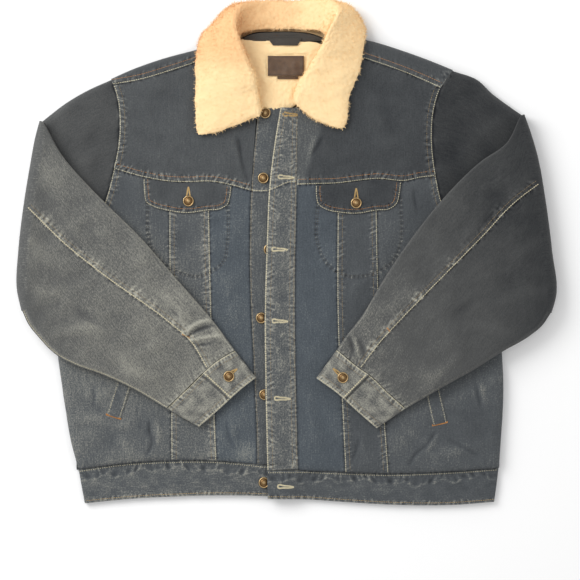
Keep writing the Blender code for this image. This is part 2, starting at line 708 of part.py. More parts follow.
def make_centre():
    rows = [0.0, 0.012, 0.036] + [0.036 + 0.964 * (k + 1) / 13 for k in range(13)]
    low = -331.5
    left = spaced(C_R, low, 223.0, rows, 1)
    right = spaced(STAND_EDGE, low, 224.0, rows, 1)
    grid = coons([left[0], left[0].lerp(right[0], 0.5), right[0]],
                 [left[-1], left[-1].lerp(right[-1], 0.5), right[-1]], left, right)
    panel("button_stand", inset(grid), stand_top, stand_low, DENIM)
    left = spaced(PLACKET_EDGE, -339.0, 225.0, rows, 1)
    right = spaced(C_L, -339.5, 221.0, rows, 1)
    shares = [0.0, 0.06, 0.35, 0.65, 0.94, 1.0]
    grid = coons([left[0].lerp(right[0], s) for s in shares],
                 [left[-1].lerp(right[-1], s) for s in shares], left, right)
    panel("placket", inset(grid), placket_top, placket_low, DENIM)


def band_top(p):
    z = BAND_TOP
    side = BAND_SIDE_R if p.x < 0 else BAND_SIDE_L
    edge = 1.0 - math.sqrt(1.0 - (1.0 - clamp(side.away(p) / 5.0)) ** 2)
    return z - 3.4 * edge


def band_low(p):
    return BAND_LOW


def lap_rise(p):
    return 9.5 * (1.0 - ease((p.x + 4.0) / 42.0))


def band_top_left(p):
    return band_top(p) + lap_rise(p)


def band_low_left(p):
    return band_low(p) + lap_rise(p)


def band_back_low(p):
    side = BAND_SIDE_R if p.x < 0 else BAND_SIDE_L
    edge = 1.0 - math.sqrt(1.0 - (1.0 - clamp(side.away(p) / 4.5)) ** 2)
    return 3.4 * edge


def band_back_top(p):
    return BAND_BACK_TOP


def make_waistband():
    right_half = [0.0, 0.006, 0.018] + [0.018 + 0.982 * (k + 1) / 11 for k in range(11)]
    left_half = [1.0 - s for s in reversed(right_half)]
    whole = [0.0, 0.004, 0.012] + [0.012 + 0.976 * (k + 1) / 12 for k in range(12)] + [0.996, 1.0]
    rows = [0.0, 0.08, 0.92, 1.0]
    pieces = (
        ("waistband_front_R", BAND_SIDE_R, STAND_EDGE, WAIST_R, HEM_R, right_half,
         band_top, band_low),
        ("waistband_front_L", PLACKET_EDGE, BAND_SIDE_L, WAIST_L, HEM_L, left_half,
         band_top_left, band_low_left),
        ("waistband_back", BAND_SIDE_R, BAND_SIDE_L, WAIST_BACK, HEM_BACK,
         whole, band_back_top, band_back_low),
    )
    for name, left, right, waist, hem, across, high, low in pieces:
        corners = {
            "lb": crossing(left, hem, -385.0), "lt": crossing(left, waist, -340.0),
            "rb": crossing(right, hem, -385.0), "rt": crossing(right, waist, -340.0),
        }
        bottom = spaced(hem, corners["lb"].x, corners["rb"].x, across, 0)
        top = spaced(waist, corners["lt"].x, corners["rt"].x, across, 0)
        first = [corners["lb"].lerp(corners["lt"], r) for r in rows]
        second = [corners["rb"].lerp(corners["rt"], r) for r in rows]
        bottom[0], bottom[-1] = corners["lb"].copy(), corners["rb"].copy()
        top[0], top[-1] = corners["lt"].copy(), corners["rt"].copy()
        grid = inset(coons(bottom, top, first, second), top=0.4)
        panel(name, grid, high, low, DENIM)


def make_back():
    across = [0.0, 0.004, 0.013] + [0.013 + 0.974 * (k + 1) / 11 for k in range(11)] + [0.996, 1.0]
    grid = four_lines(EDGE_R, EDGE_L, WAIST_BACK, YOKE_BACK, across, DOWN)
    grid = inset(grid, left=1.8, right=1.8, bottom=0.4)
    panel("back_panel", grid, back_top, back_low, DENIM)


def make_back_yoke():
    """The yoke lies under the neck and turns over each shoulder to the front seam."""
    turn_out = 9.5
    turn_in = 0.4
    neck_r, neck_l = -101.0, 83.0
    columns = [("R", 1.0 - t) for t in even(8)]
    columns += [("N", t) for t in even(12)[1:-1]]
    columns += [("L", t) for t in even(8)]
    rows = even(7)
    angles = [-50, -15, 15, 50]

    def place(kind, t, y, gap):
        if kind == "N":
            return mix(neck_r, neck_l, t)
        if kind == "R":
            return mix(neck_r, ARMHOLE_R.x(y) + gap, t)
        return mix(neck_l, ARMHOLE_L.x(y) - gap, t)

    outer = []
    inner = []
    keep = set()
    for i, (kind, t) in enumerate(columns):
        ridge_line = RIDGE_R if kind == "R" else RIDGE_L
        seam_line = SHOULDER_R if kind == "R" else SHOULDER_L
        ridge, seam = 280.0, 270.0
        for _ in range(5):
            ridge = ridge_line.y(place(kind, t, ridge, 0.5))
            seam = seam_line.y(place(kind, t, seam, 0.6))
        x = place(kind, t, ridge, 0.5)
        top = NECK_BACK.y(x) if kind == "N" else ridge - turn_out
        column_out = []
        column_in = []
        for share in rows:
            y = mix(YOKE_BACK.y(x) + SEAM_GAP, top, share)
            p = Vector((place(kind, t, y, 1.8), y))
            column_out.append((p.x, p.y, raised(p)))
            column_in.append((p.x, p.y, raised(p) + BACK_TOP))
        lift = raised(Vector((x, top)))
        for angle in angles:
            turn = math.radians(angle)
            for radius, column in ((turn_out, column_out), (turn_in, column_in)):
                y = top if kind == "N" else top + radius * math.cos(turn)
                px = place(kind, t, y, 0.6)
                column.append((px, y, lift + 9.5 + radius * math.sin(turn)))
        for share in (0.0, 0.55, 1.0):
            y = mix(top, seam + SEAM_GAP, share)
            p = Vector((place(kind, t, y, 0.6), y))
            dip = SEAM_DIP if share == 1.0 else 0.0
            column_out.append((p.x, p.y, raised(p) + FRONT_TOP - dip))
            column_in.append((p.x, p.y, raised(p) + FRONT_LOW))
        outer.append(column_out)
        inner.append(column_in)
        if i > 0:
            both = kind == columns[i - 1][0] != "N"
            count = len(column_out) - 1 if both else len(rows) - 1
            keep |= {(i - 1, j) for j in range(count)}
    wall("back_yoke", outer, inner, DENIM_DARK, keep)


# ---------------------------------------------------------------- sleeves
def blend(a, v, start, end, upper, lower):
    """A point of the patch between two lines across the sleeve and its two edges."""
    ruled = start(v) * (1 - a) + end(v) * a + upper.at(a) * (1 - v) + lower.at(a) * v
    first = start(0.0) * (1 - a) + end(0.0) * a
    last = start(1.0) * (1 - a) + end(1.0) * a
    return ruled - first * (1 - v) - last * v


def edge_round(v, width, half):
    gap = min(v, 1.0 - v) * width
    return math.sqrt(max(0.0, 1.0 - (1.0 - clamp(gap / half)) ** 2))


def sleeve_sections(part):
    """Sections along the sleeve: a plan function, the middle's height, half height, direction."""
    out3 = Vector((part["out"].x, part["out"].y, 0.0))
    width_fold = part["fold"].length

    def turn_at(v):
        return TURN * mix(TURN_END, 1.0, ease(min(v, 1.0 - v) * width_fold / 34.0))

    def fold_line(v):
        round_off = edge_round(v, width_fold, ARM_HALF[1])
        return part["fold"].at(v) - part["out"] * (turn_at(v) + ARM_HALF[1] * round_off)

    def start(v):
        toward = (part["fold"].at(v) - part["armhole"].at(v)).normalized()
        return part["armhole"].at(v) + toward * 0.5

    def plan_arm(a):
        return lambda v: blend(a, v, start, fold_line, part["arm_upper"], part["arm_lower"])

    def plan_fore(b):
        end = part["cuff_seam"].at
        return lambda v: blend(b, v, fold_line, end, part["fore_upper"], part["fore_lower"])

    sections = []
    for a in (0.0, 0.12, 0.4, 0.7, 1.0):
        half = mix(ARM_HALF[0], ARM_HALF[1], a)
        sections.append({"plan": plan_arm(a), "z": half, "half": half, "turn": 0.0, "level": 1})
    for degrees in (45, 90, 135):
        turn = math.radians(degrees)
        sections.append({
            "plan": fold_line, "z": ARM_HALF[1] + TURN * (1 - math.cos(turn)),
            "half": ARM_HALF[1], "turn": turn, "level": 0})
    for b in (0.0, 0.09, 0.2, 0.32, 0.44, 0.56, 0.68, 0.8, 0.91, 0.999):
        half = mix(ARM_HALF[1], FORE_END, ease((b - 0.72) / 0.28))
        sections.append({
            "plan": plan_fore(b), "z": FORE_LOW + half, "half": half, "turn": math.pi, "level": 2})
    for section in sections:
        section["normal"] = (
            -out3 * math.sin(section["turn"]) + Vector((0, 0, 1)) * math.cos(section["turn"]))
        section["out"] = out3 * math.sin(section["turn"])
        section["reach"] = turn_at
        section["seam"] = seam_share(part, section["plan"]) if section["level"] == 2 else None
    at_fold = next(s["seam"] for s in sections if s["level"] == 2)
    for section in sections:
        if section["seam"] is None:
            section["seam"] = at_fold
    return sections


def seam_share(part, plan):
    """Where the long seam crosses a section of the forearm."""
    best = min((part["seam"].away(plan(k / 100)), k / 100) for k in range(20, 75))
    return best[1]


def sleeve_point(section, v, layer, inner, lap=0.0):
    """A point of the sleeve's wall. Layer 1 is the garment's front, -1 its back."""
    plan = section["plan"]
    width = (plan(1.0) - plan(0.0)).length
    half = section["half"]
    if inner:
        rim = half - SLIT
        gap = min(v, 1.0 - v) * width
        v = (rim + v * (width - 2 * rim)) / width
        reach = SLIT * clamp(gap / (0.2 * half))
    else:
        reach = half * edge_round(v, width, half)
    reach = max(reach, lap)
    if section["level"] == 0 and layer > 0:
        reach = min(reach, section["reach"](v) - 0.5)
    p = plan(v)
    extra = 0.0
    if not inner and reach > 1.0:
        soft = clamp(reach / half) ** 2
        if section["level"] == 1 and layer > 0:
            free = 1.0 - near_forearm(p)
            extra = ridges(RIDGES_ARM, p) * free - PRESSED * 0.4 * (1.0 - free)
        if section["level"] == 2 and layer < 0:
            extra = ridges(RIDGES_FORE, p)
        extra *= soft
    at = Vector((p.x, p.y, section["z"])) + section["out"] * section["reach"](v)
    return at + section["normal"] * (layer * (reach + extra))


def layer_shares(width, half, first, last, count):
    """Shares across a layer, closer together at a folded edge."""
    near = [0.0, 0.2 * half / width, half / width, 3.0 * half / width]
    shares = []
    if first == 0.0:
        shares += near
        first = near[-1]
    tail = []
    if last == 1.0:
        tail = [1.0 - s for s in reversed(near)]
        last = tail[0]
    inner = [mix(first, last, k / count) for k in range(count + 1)]
    if shares:
        inner = inner[1:]
    if tail:
        inner = inner[:-1]
    return shares + inner + tail


def make_sleeve(side):
    part = SIDES[side]
    sections = sleeve_sections(part)
    top_out, top_in, under_out, under_in = [], [], [], []
    for section in sections:
        plan = section["plan"]
        width = (plan(1.0) - plan(0.0)).length
        half = section["half"]
        seam = section["seam"]
        gap = SEAM_GAP / width
        back = layer_shares(width, half, 0.0, seam - gap, 3)[::-1]
        front = layer_shares(width, half, 0.0, 1.0, 6)[1:]
        spots = [(v, -1) for v in back] + [(v, 1) for v in front]
        row_out, row_in = [], []
        for n, (v, layer) in enumerate(spots):
            lap = SEAM_GAP if n == len(spots) - 1 else 0.0
            row_out.append(sleeve_point(section, v, layer, False, lap))
            row_in.append(sleeve_point(section, v, layer, True, lap))
        top_out.append(row_out)
        top_in.append(row_in)
        lower = layer_shares(width, half, seam + gap, 1.0, 3)[::-1]
        row_out, row_in = [], []
        for n, v in enumerate(lower):
            lap = SEAM_GAP if n == 0 else 0.0
            row_out.append(sleeve_point(section, v, -1, False, lap))
            row_in.append(sleeve_point(section, v, -1, True, lap))
        under_out.append(row_out)
        under_in.append(row_in)
    wall(f"top_sleeve_{side}", top_out, top_in, DENIM_SLEEVE)
    wall(f"under_sleeve_{side}", under_out, under_in, DENIM_SLEEVE)


def make_cuff(side):
    """A band once round the sleeve's end, its buttoned tab lapped over its own start."""
    part = SIDES[side]
    seam, mouth = part["cuff_seam"], part["cuff_mouth"]
    floor = FORE_LOW + 0.1
    slit = 0.8
    top = floor + 2 * CUFF_WALL + slit
    middle = floor + CUFF_WALL + slit / 2
    tab = CUFF_WALL + 0.4
    start, end = 0.17, 0.44
    # share across the sleeve, outer height, inner share, inner height
    stations = [
        (start, top, start, top - CUFF_WALL),
        (0.4, top, 0.4, top - CUFF_WALL),
        (0.68, top, 0.68, top - CUFF_WALL),
        (0.95, top, 0.94, top - CUFF_WALL),
        (0.985, top - 1.4, 0.968, middle + 0.3),
        (1.0, middle, 0.974, middle),
        (0.985, floor + 1.4, 0.968, middle - 0.3),
        (0.95, floor, 0.94, floor + CUFF_WALL),
        (0.68, floor, 0.68, floor + CUFF_WALL),
        (0.4, floor, 0.4, floor + CUFF_WALL),
        (0.05, floor, 0.06, floor + CUFF_WALL),
        (0.015, floor + 1.4, 0.032, middle - 0.3),
        (0.0, middle, 0.026, middle),
        (0.012, top - 0.6, 0.032, middle + 0.3),
        (0.05, top + 0.8, 0.06, top - CUFF_WALL),
        (0.12, top + tab, 0.13, top + 0.4),
        (0.28, top + tab, 0.28, top + 0.4),
        (end, top + tab, end, top + 0.4),
    ]
    outer, inner = [], []
    for w in (0.0, 0.1, 0.5, 0.9, 1.0):
        row_out, row_in = [], []
        for v_out, z_out, v_in, z_in in stations:
            for v, z, row in ((v_out, z_out, row_out), (v_in, z_in, row_in)):
                a = seam.at(v)
                b = mouth.at(v)
                length = (b - a).length
                p = a.lerp(b, (CUFF_GAP + w * (length - CUFF_GAP)) / length)
                pinch = 0.35 if w in (0.0, 1.0) else 0.0
                lean = pinch if z < middle else -pinch
                row.append((p.x, p.y, z + (lean if row is row_out else 0.0)))
        outer.append(row_out)
        inner.append(row_in)
    wall(f"cuff_{side}", outer, inner, DENIM_SLEEVE)


# ---------------------------------------------------------------- collar
def make_collar():
    knots = []
    for row in COLLAR_ROWS:
        knots.append([Vector(p) for p in row])
    dense = []
    steps = 2
    for k in range(len(knots) - 1):
        for s in range(steps):
            t = s / steps
            row = []
            for c in range(4):
                p0 = knots[max(k - 1, 0)][c]
                p1 = knots[k][c]
                p2 = knots[k + 1][c]
                p3 = knots[min(k + 2, len(knots) - 1)][c]
                lead = (p2 - p0) * 0.5
                trail = (p3 - p1) * 0.5
                row.append(
                    p1 * (2 * t ** 3 - 3 * t ** 2 + 1) + lead * (t ** 3 - 2 * t ** 2 + t)
                    + p2 * (3 * t ** 2 - 2 * t ** 3) + trail * (t ** 3 - t ** 2))
            dense.append(row)
    dense.append(knots[-1])
    outer, inner = [], []
    for k, (neck, roll, leaf, edge) in enumerate(dense):
        share = abs(k / (len(dense) - 1) * 2 - 1)
        half = mix(COLLAR_WALL_BACK, COLLAR_WALL, ease(share * 1.6 - 0.25)) / 2
        radius = max(ROLL - (COLLAR_WALL / 2 - half), half + 0.5)
        a = (neck - roll).normalized()
        b = (leaf - roll).normalized()
        across = b - a
        tip = -(a + b)
        if tip.length < 0.05:
            tip = across.cross(Vector((0, 0, 1)))
        across.normalize()
        tip = (tip - across * tip.dot(across)).normalized()
        path = []
        stand = roll - across * radius
        for t in (0.0, 0.5):
            path.append(neck.lerp(stand, t))
        for degrees in (0, 45, 90, 135, 180):
            turn = math.radians(degrees)
            path.append(roll - across * (radius * math.cos(turn)) + tip * (radius * math.sin(turn)))
        fall = path[-1]
        for t in (0.35, 0.7):
            c = 1 - t
            path.append(fall * (c * c) + (leaf * 2 - (fall + edge) / 2) * (2 * c * t) + edge * (t * t))
        path.append(edge.copy())
        row_out, row_in = [], []
        last = len(path) - 1
        for n, p in enumerate(path):
            ahead = path[min(n + 1, last)] - path[max(n - 1, 0)]
            frame = ahead.normalized()
            if n < 2:
                side = -across
            elif n < 7:
                side = (p - roll).normalized()
            else:
                side = across.copy()
            side = (side - frame * side.dot(frame)).normalized()
            fat = half * (0.75 if n in (0, last) else 1.0)
            row_out.append(p + side * fat)
            row_in.append(p - side * fat)
        outer.append(row_out)
        inner.append(row_in)
    wall("collar", outer, inner, SHERPA, roughness=1.0)


# ---------------------------------------------------------------- what lies on the panels
def trees(names):
    found = []
    for name in names:
        mesh = MADE[name].data
        points = [v.co.copy() for v in mesh.vertices]
        found.append(BVHTree.FromPolygons(points, [p.vertices[:] for p in mesh.polygons]))
    return found


def height_on(surfaces, p, spread=0.0):
    """The highest point of some pieces at p, in millimetres, or around it."""
    best = -1e9
    spots = [(0, 0), (1, 0), (-1, 0), (0, 1), (0, -1)]
    for dx, dy in spots:
        start = Vector(((p.x + dx * spread) * MM, (p.y + dy * spread) * MM, 1.0))
        for tree in surfaces:
            hit = tree.ray_cast(start, Vector((0, 0, -1)))
            if hit[0] is not None:
                best = max(best, hit[0].z / MM)
    return best


def make_flaps():
    data = {
        "R": (FLAP_SIDE_R, FLAP_END_R, FLAP_LOW_R, YOKE_R),
        "L": (FLAP_SIDE_L, FLAP_END_L, FLAP_LOW_L, YOKE_L),
    }
    for side, (first, last, low, yoke) in data.items():
        on = trees([f"front_side_{side}", f"front_middle_{side}", f"front_center_{side}"])
        low_line = Curve(low)
        bottom = [low_line.at(t) for t in even(10)]
        top = spaced(yoke, first[0][0], last[0][0], even(10), 0)
        left_line = Curve(first[::-1])
        right_line = Curve(last[::-1])
        left = [left_line.at(t) for t in even(3)]
        right = [right_line.at(t) for t in even(3)]
        top = [p - Vector((0, 0.9)) for p in top]
        left[0], right[0] = bottom[0].copy(), bottom[-1].copy()
        left[-1], right[-1] = top[0].copy(), top[-1].copy()
        grid = coons(bottom, top, left, right)

        def low_z(p):
            return height_on(on, p, 2.5) + 0.5

        def high_z(p):
            return low_z(p) + FLAP_WALL

        panel(f"pocket_flap_{side}", grid, high_z, low_z, DENIM)


def make_welts():
    for side, ends in (("R", WELT_R_ENDS), ("L", WELT_L_ENDS)):
        on = trees([f"front_side_{side}"])
        start, end = Vector(ends[0]), Vector(ends[1])
        along = (end - start).normalized()
        across = Vector((-along.y, along.x))
        grid = []
        for t in even(10):
            middle = start.lerp(end, t)
            grid.append([middle + across * (WELT_HALF * s) for s in (-1, -0.85, 0, 0.85, 1)])

        def low_z(p):
            return height_on(on, p, 3.0) + 0.6

        def high_z(p):
            return low_z(p) + WELT_WALL

        panel(f"welt_{side}", grid, high_z, low_z, DENIM_DARK)


def make_button(name, at, on, lift=0.35):
    """A domed rivet button: a turned profile, closed at the pole."""
    p = Vector(at)
    base = height_on(on, p, BUTTON_R * 0.7) + lift
    profile = [(0.0, 0.0), (7.9, 0.0), (BUTTON_R, 1.3), (7.9, 2.7), (6.3, 2.5), (3.4, 3.5),
               (0.0, BUTTON_H)]
    bm = bmesh.new()
    line = [bm.verts.new(Vector((r, 0.0, z)) * MM) for r, z in profile]
    edges = [bm.edges.new(pair) for pair in zip(line, line[1:])]
    bmesh.ops.spin(
        bm, geom=line + edges, cent=(0, 0, 0), axis=(0, 0, 1), angle=math.tau, steps=12,
        use_merge=True, use_duplicate=False)
    bmesh.ops.remove_doubles(bm, verts=bm.verts, dist=0.00001)
    bmesh.ops.translate(bm, verts=bm.verts, vec=Vector((p.x, p.y, base)) * MM)
    finish(name, bm, COPPER, 0.35, 1.0, 40.0)


def make_buttons():
    on = trees(["button_stand", "waistband_front_R"])
    for k, at in enumerate(FRONT_BUTTONS):
        make_button(f"button_front_{k + 1}", at, on)
    for side, at in FLAP_BUTTONS.items():
        make_button(f"button_flap_{side}", at, trees([f"pocket_flap_{side}"]))
    for side, at in CUFF_BUTTONS.items():
        make_button(f"button_cuff_{side}", at, trees([f"cuff_{side}"]))


def plate(name, corners, wall_mm, on, colour, cells=(8, 3), lift=0.4, bulge=0.0, roughness=0.9):
    """A thin piece on what lies below it: corners are top left, top right, low right, low left."""
    tl, tr, lr, ll = [Vector(c) for c in corners]
    grid = []
    for t in even(cells[1]):
        left, right = ll.lerp(tl, t), lr.lerp(tr, t)
        grid.append([left.lerp(right, s) for s in even(cells[0])])

    def low_z(p):
        share = clamp((p.x - tl.x) / (tr.x - tl.x))
        return height_on(on, p, 1.5) + lift + bulge * math.sin(math.pi * share) ** 0.7

    def high_z(p):
        return low_z(p) + wall_mm

    panel(name, grid, high_z, low_z, colour, roughness=roughness)


def make_neck():
    """The sherpa inside the neck and what is sewn on it."""
    on = trees(["back_yoke", "back_panel"])
    lining = []
    for t in even(10):
        x = mix(-78, 57, t)
        low = 228 + 27 * (ease((x - 4) / 22) + ease((-38 - x) / 22))
        low += 30 * (ease((x - 20) / 40) + ease((-56 - x) / 24))
        high = min(325.0, NECK_BACK.y(x) - 3.0)
        lining.append([Vector((x, mix(low, high, s))) for s in even(6)])
    grid = [[column[j] for column in lining] for j in range(7)]

    def low_z(p):
        return height_on(on, p, 4.0) + 0.9

    def high_z(p):
        return low_z(p) + 2.6

    panel("neck_lining", grid, high_z, low_z, SHERPA, roughness=1.0)
    places = [mix(-66.0, 58.0, t) for t in even(10)]
    grid = [[Vector((x, mix(326.0, NECK_BACK.y(x) - 1.6, s))) for x in places] for s in even(2)]

    def tape_low(p):
        return height_on(on, p, 2.0) + 0.4

    def tape_high(p):
        return tape_low(p) + 2.4

    panel("neck_tape", grid, tape_high, tape_low, TAPE)
    on = trees(["neck_lining", "neck_tape"])
    loop = [(-29, 330), (24, 330), (17, 319), (-21, 319)]
    plate("hanger_loop", loop, 1.0, on, TAPE, (8, 2), bulge=1.6)
    on = trees(["neck_lining"])
    label = [(-29, 303), (27, 303), (27, 272), (-29, 272)]
    plate("label", label, 1.6, on, LEATHER, (4, 2), roughness=0.6)
    plate("size_tab", [(-14, 271.4), (18, 271.4), (18, 267), (-14, 267)], 0.8, on, TAPE, (3, 1))


def centre_all():
    """Put the origin under the middle of everything."""
    low = Vector((1e9, 1e9, 1e9))
    high = -low
    for made in MADE.values():
        for vert in made.data.vertices:
            for k in range(3):
                low[k] = min(low[k], vert.co[k])
                high[k] = max(high[k], vert.co[k])
    shift = Vector((-(low.x + high.x) / 2, -(low.y + high.y) / 2, -low.z))
    for made in MADE.values():
        for vert in made.data.vertices:
            vert.co.x += shift.x
            vert.co.y += shift.y
    print("box", [round(v / MM, 2) for v in high - low], "moved", [round(v / MM, 2) for v in shift])


def main():
    for old in list(bpy.data.objects):
        bpy.data.objects.remove(old, do_unlink=True)
    make_fronts()
    make_yokes()
    make_centre()
    make_waistband()
    make_back()
    make_back_yoke()
    for side in ("R", "L"):
        make_sleeve(side)
        make_cuff(side)
    make_collar()
    make_flaps()
    make_welts()
    make_buttons()
    make_neck()
    centre_all()


main()
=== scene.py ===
# %% [markdown]
# # A sherpa lined denim jacket, laid flat
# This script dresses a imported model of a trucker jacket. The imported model, called the frame here,
# holds every cut piece as a plain solid at its real size. Each piece is made again as fine cloth
# with its seams, puckers and creases, and stands for its solid. The jacket lies on its back with
# the front up, and both sleeves are folded over the front.
#
# Lengths below are in millimetres, as in a sewing pattern, and become metres when a mesh is made.

# %% The frame and its place
import math

import bmesh
import bpy
import numpy as np
from mathutils import Matrix, Vector
from mathutils.bvhtree import BVHTree
from numpy.linalg import norm


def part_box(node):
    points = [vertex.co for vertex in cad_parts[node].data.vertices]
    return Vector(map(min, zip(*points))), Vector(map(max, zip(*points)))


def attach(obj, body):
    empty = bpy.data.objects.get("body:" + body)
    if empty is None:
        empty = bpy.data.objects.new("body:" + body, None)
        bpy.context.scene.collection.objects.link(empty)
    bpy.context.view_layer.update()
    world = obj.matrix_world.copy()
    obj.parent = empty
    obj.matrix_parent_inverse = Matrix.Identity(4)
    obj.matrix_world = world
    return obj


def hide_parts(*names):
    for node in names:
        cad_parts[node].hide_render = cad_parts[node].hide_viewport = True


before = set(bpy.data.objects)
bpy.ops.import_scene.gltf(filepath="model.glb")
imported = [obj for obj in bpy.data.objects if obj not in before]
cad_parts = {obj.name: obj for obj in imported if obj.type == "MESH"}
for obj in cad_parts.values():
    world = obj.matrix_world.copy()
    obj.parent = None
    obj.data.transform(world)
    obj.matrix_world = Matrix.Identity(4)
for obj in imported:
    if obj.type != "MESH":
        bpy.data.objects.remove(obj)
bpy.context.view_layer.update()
scene = bpy.context.scene
MM = 0.001

# The second front button is sewn on at this place of the pattern. Its solid says where the
# pattern's own zero lies in the frame.
SECOND_BUTTON = np.array([-36.0, 114.0])
low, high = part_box("button_front_2")
SHIFT = (np.array(low[:2]) + np.array(high[:2])) / 2 / MM - SECOND_BUTTON

# %% [markdown]
# ## Camera, floor and light
# The camera looks straight down, as at a garment laid out on a table. A long lens keeps the edges
# of the picture as flat as the middle. A white floor, an even white sky and one large soft lamp
# from the upper left are enough: the relief of the cloth is low, and hard light would overstate it.

# %% Camera, floor and light
VIEW_CENTRE = np.array([5.4, -59.7])
VIEW_WIDTH = 0.899
LENS = 135.0
SENSOR = 36.0
LOOK_HEIGHT = 0.02
SKY_STRENGTH = 0.80
LAMP_SIZE = 1.6
LAMP_POWER = 41.0
LAMP_PLACE = (-1.5, 1.1, 1.7)
FLOOR_SIZE = 4.0
FLOOR_DROP = 0.0005


def placed(name, data):
    """A new object that holds some data, linked into the scene."""
    made = bpy.data.objects.new(name, data)
    scene.collection.objects.link(made)
    return made


def mesh_of(name, bm):
    """A new mesh of what a bmesh holds. The bmesh is freed."""
    mesh = bpy.data.meshes.new(name)
    bm.to_mesh(mesh)
    bm.free()
    return mesh


camera_data = bpy.data.cameras.new("camera")
camera_data.lens = LENS
camera_data.sensor_width = SENSOR
camera = placed("camera", camera_data)
eye_height = VIEW_WIDTH * LENS / SENSOR + LOOK_HEIGHT
camera.location = (*((VIEW_CENTRE + SHIFT) * MM), eye_height)
scene.camera = camera

world = bpy.data.worlds.new("sky")
world.use_nodes = True
sky = world.node_tree.nodes["Background"].inputs
sky["Color"].default_value = (1.0, 1.0, 1.0, 1.0)
sky["Strength"].default_value = SKY_STRENGTH
scene.world = world
scene.view_settings.view_transform = "Standard"

lamp_data = bpy.data.lights.new("soft_lamp", "AREA")
lamp_data.shape = "DISK"
lamp_data.size = LAMP_SIZE
lamp_data.energy = LAMP_POWER
lamp = placed("soft_lamp", lamp_data)
lamp.location = LAMP_PLACE
lamp.rotation_euler = (-lamp.location).to_track_quat("-Z", "Y").to_euler()

bm = bmesh.new()
bmesh.ops.create_grid(bm, x_segments=1, y_segments=1, size=FLOOR_SIZE)
floor = placed("floor", mesh_of("floor", bm))
floor.location.z = -FLOOR_DROP
print("camera", round(eye_height, 3), "m above the floor")

# %% [markdown]
# ## Shader maths as plain expressions
# A material's pattern is a formula: streaks times a mask plus a little noise. Wrapping a socket in
# a small class lets the formula be written as one, and each operator adds its Math node. A second
# class holds the material, and has a short way to make each kind of node that returns often.

# %% A small shader language
class Wire:
    """One output of a shader node. Sums and products of wires add Math nodes."""

    def __init__(self, paint, socket):
        self.paint = paint
        self.socket = socket

    def maths(self, operation, *values):
        return self.paint.node(
            "ShaderNodeMath", {"operation": operation}, dict(enumerate(values)))

    def __add__(self, other):
        return self.maths("ADD", self, other)

    __radd__ = __add__

    def __sub__(self, other):
        return self.maths("SUBTRACT", self, other)

    def __rsub__(self, other):
        return self.maths("SUBTRACT", other, self)

    def __mul__(self, other):
        return self.maths("MULTIPLY", self, other)

    __rmul__ = __mul__

    def sine(self):
        return self.maths("SINE", self)

    def at_most(self, other):
        return self.maths("MINIMUM", self, other)


class Paint:
    """A material and the ways in which its nodes are made."""

    def __init__(self, name):
        self.material = bpy.data.materials.new(name)
        self.material.use_nodes = True
        self.tree = self.material.node_tree
        self.shader = self.tree.nodes["Principled BSDF"]

    def put(self, socket, value):
        if isinstance(value, Wire):
            self.tree.links.new(value.socket, socket)
        else:
            socket.default_value = value

    def set(self, **sockets):
        for key, value in sockets.items():
            self.put(self.shader.inputs[key.replace("_", " ")], value)

    def node(self, kind, settings=None, inputs=None, out=0):
        made = self.tree.nodes.new(kind)
        for key, value in (settings or {}).items():
            setattr(made, key, value)
        for key, value in (inputs or {}).items():
            self.put(made.inputs[key], value)
        return Wire(self, made.outputs[out])

    def place(self):
        """Where a point lies on its object."""
        return self.node("ShaderNodeTexCoord", out=3)

    def split(self, vector):
        """The first two parts of a vector."""
        first = self.node("ShaderNodeSeparateXYZ", inputs={"Vector": vector})
        return first, Wire(self, first.socket.node.outputs[1])

    def attribute(self, name):
        return self.node("ShaderNodeAttribute", {"attribute_name": name}, out=2)

    def noise(self, vector, scale, detail=2.0, roughness=0.5):
        return self.node("ShaderNodeTexNoise", {}, {
            "Vector": vector, "Scale": scale, "Detail": detail, "Roughness": roughness})

    def cells(self, vector, scale, feature, **inputs):
        return self.node(
            "ShaderNodeTexVoronoi", {"feature": feature}, {"Vector": vector, "Scale": scale, **inputs})

    def ramp(self, tone, *stops):
        """A colour for each tone, from stops of a place and a colour."""
        colour = self.node("ShaderNodeValToRGB", inputs={"Fac": tone})
        elements = colour.socket.node.color_ramp.elements
        while len(elements) < len(stops):
            elements.new(0.5)
        for element, (place, shade) in zip(elements, stops):
            element.position = place
            element.color = (*shade, 1.0)
        return colour

    def bump(self, height, distance, strength):
        return self.node("ShaderNodeBump", {}, {
            "Height": height, "Distance": distance, "Strength": strength})


EVEN_STOPS = (0.0, 0.5, 1.0)

floor_paint = Paint("floor_white")
grain = floor_paint.noise(floor_paint.place(), 40.0)
floor_paint.set(
    Base_Color=(0.93, 0.93, 0.93, 1.0), Roughness=0.95 - 0.05 * grain, Specular_IOR_Level=0.1)
floor.data.materials.append(floor_paint.material)

# %% [markdown]
# ## Denim
# Denim is a twill: blue warp threads run along the cloth over white weft threads, in steps that make fine
# diagonal ribs. Uneven yarn leaves long faint streaks along the warp. Washing takes the blue off wherever
# the cloth stands proud, so a value is worked out with the relief of each piece and stored on its points,
# and the colour here follows it. The same value also holds painted shade: darker cloth in crease troughs,
# hollows and grooves and at the foot of laps, where shade falls. The pattern reads the piece's UV map,
# which holds the flat cloth in metres, so it turns with each cut piece.

# %% Denim
TWILL_PITCH = 0.00095
# Each kind of fleck: its width and length in metres, then the noise's detail and roughness
STREAKS = (0.0017, 0.026, 3.0, 0.65)
SLUBS = (0.004, 0.012, 3.0, 0.6)
SALT = (0.0020, 0.0026, 2.0, 0.75)
SPECKS = (0.0009, 0.0012, 1.0, 0.5)
CLOUDS = (0.050, 0.065, 3.0, 0.55)


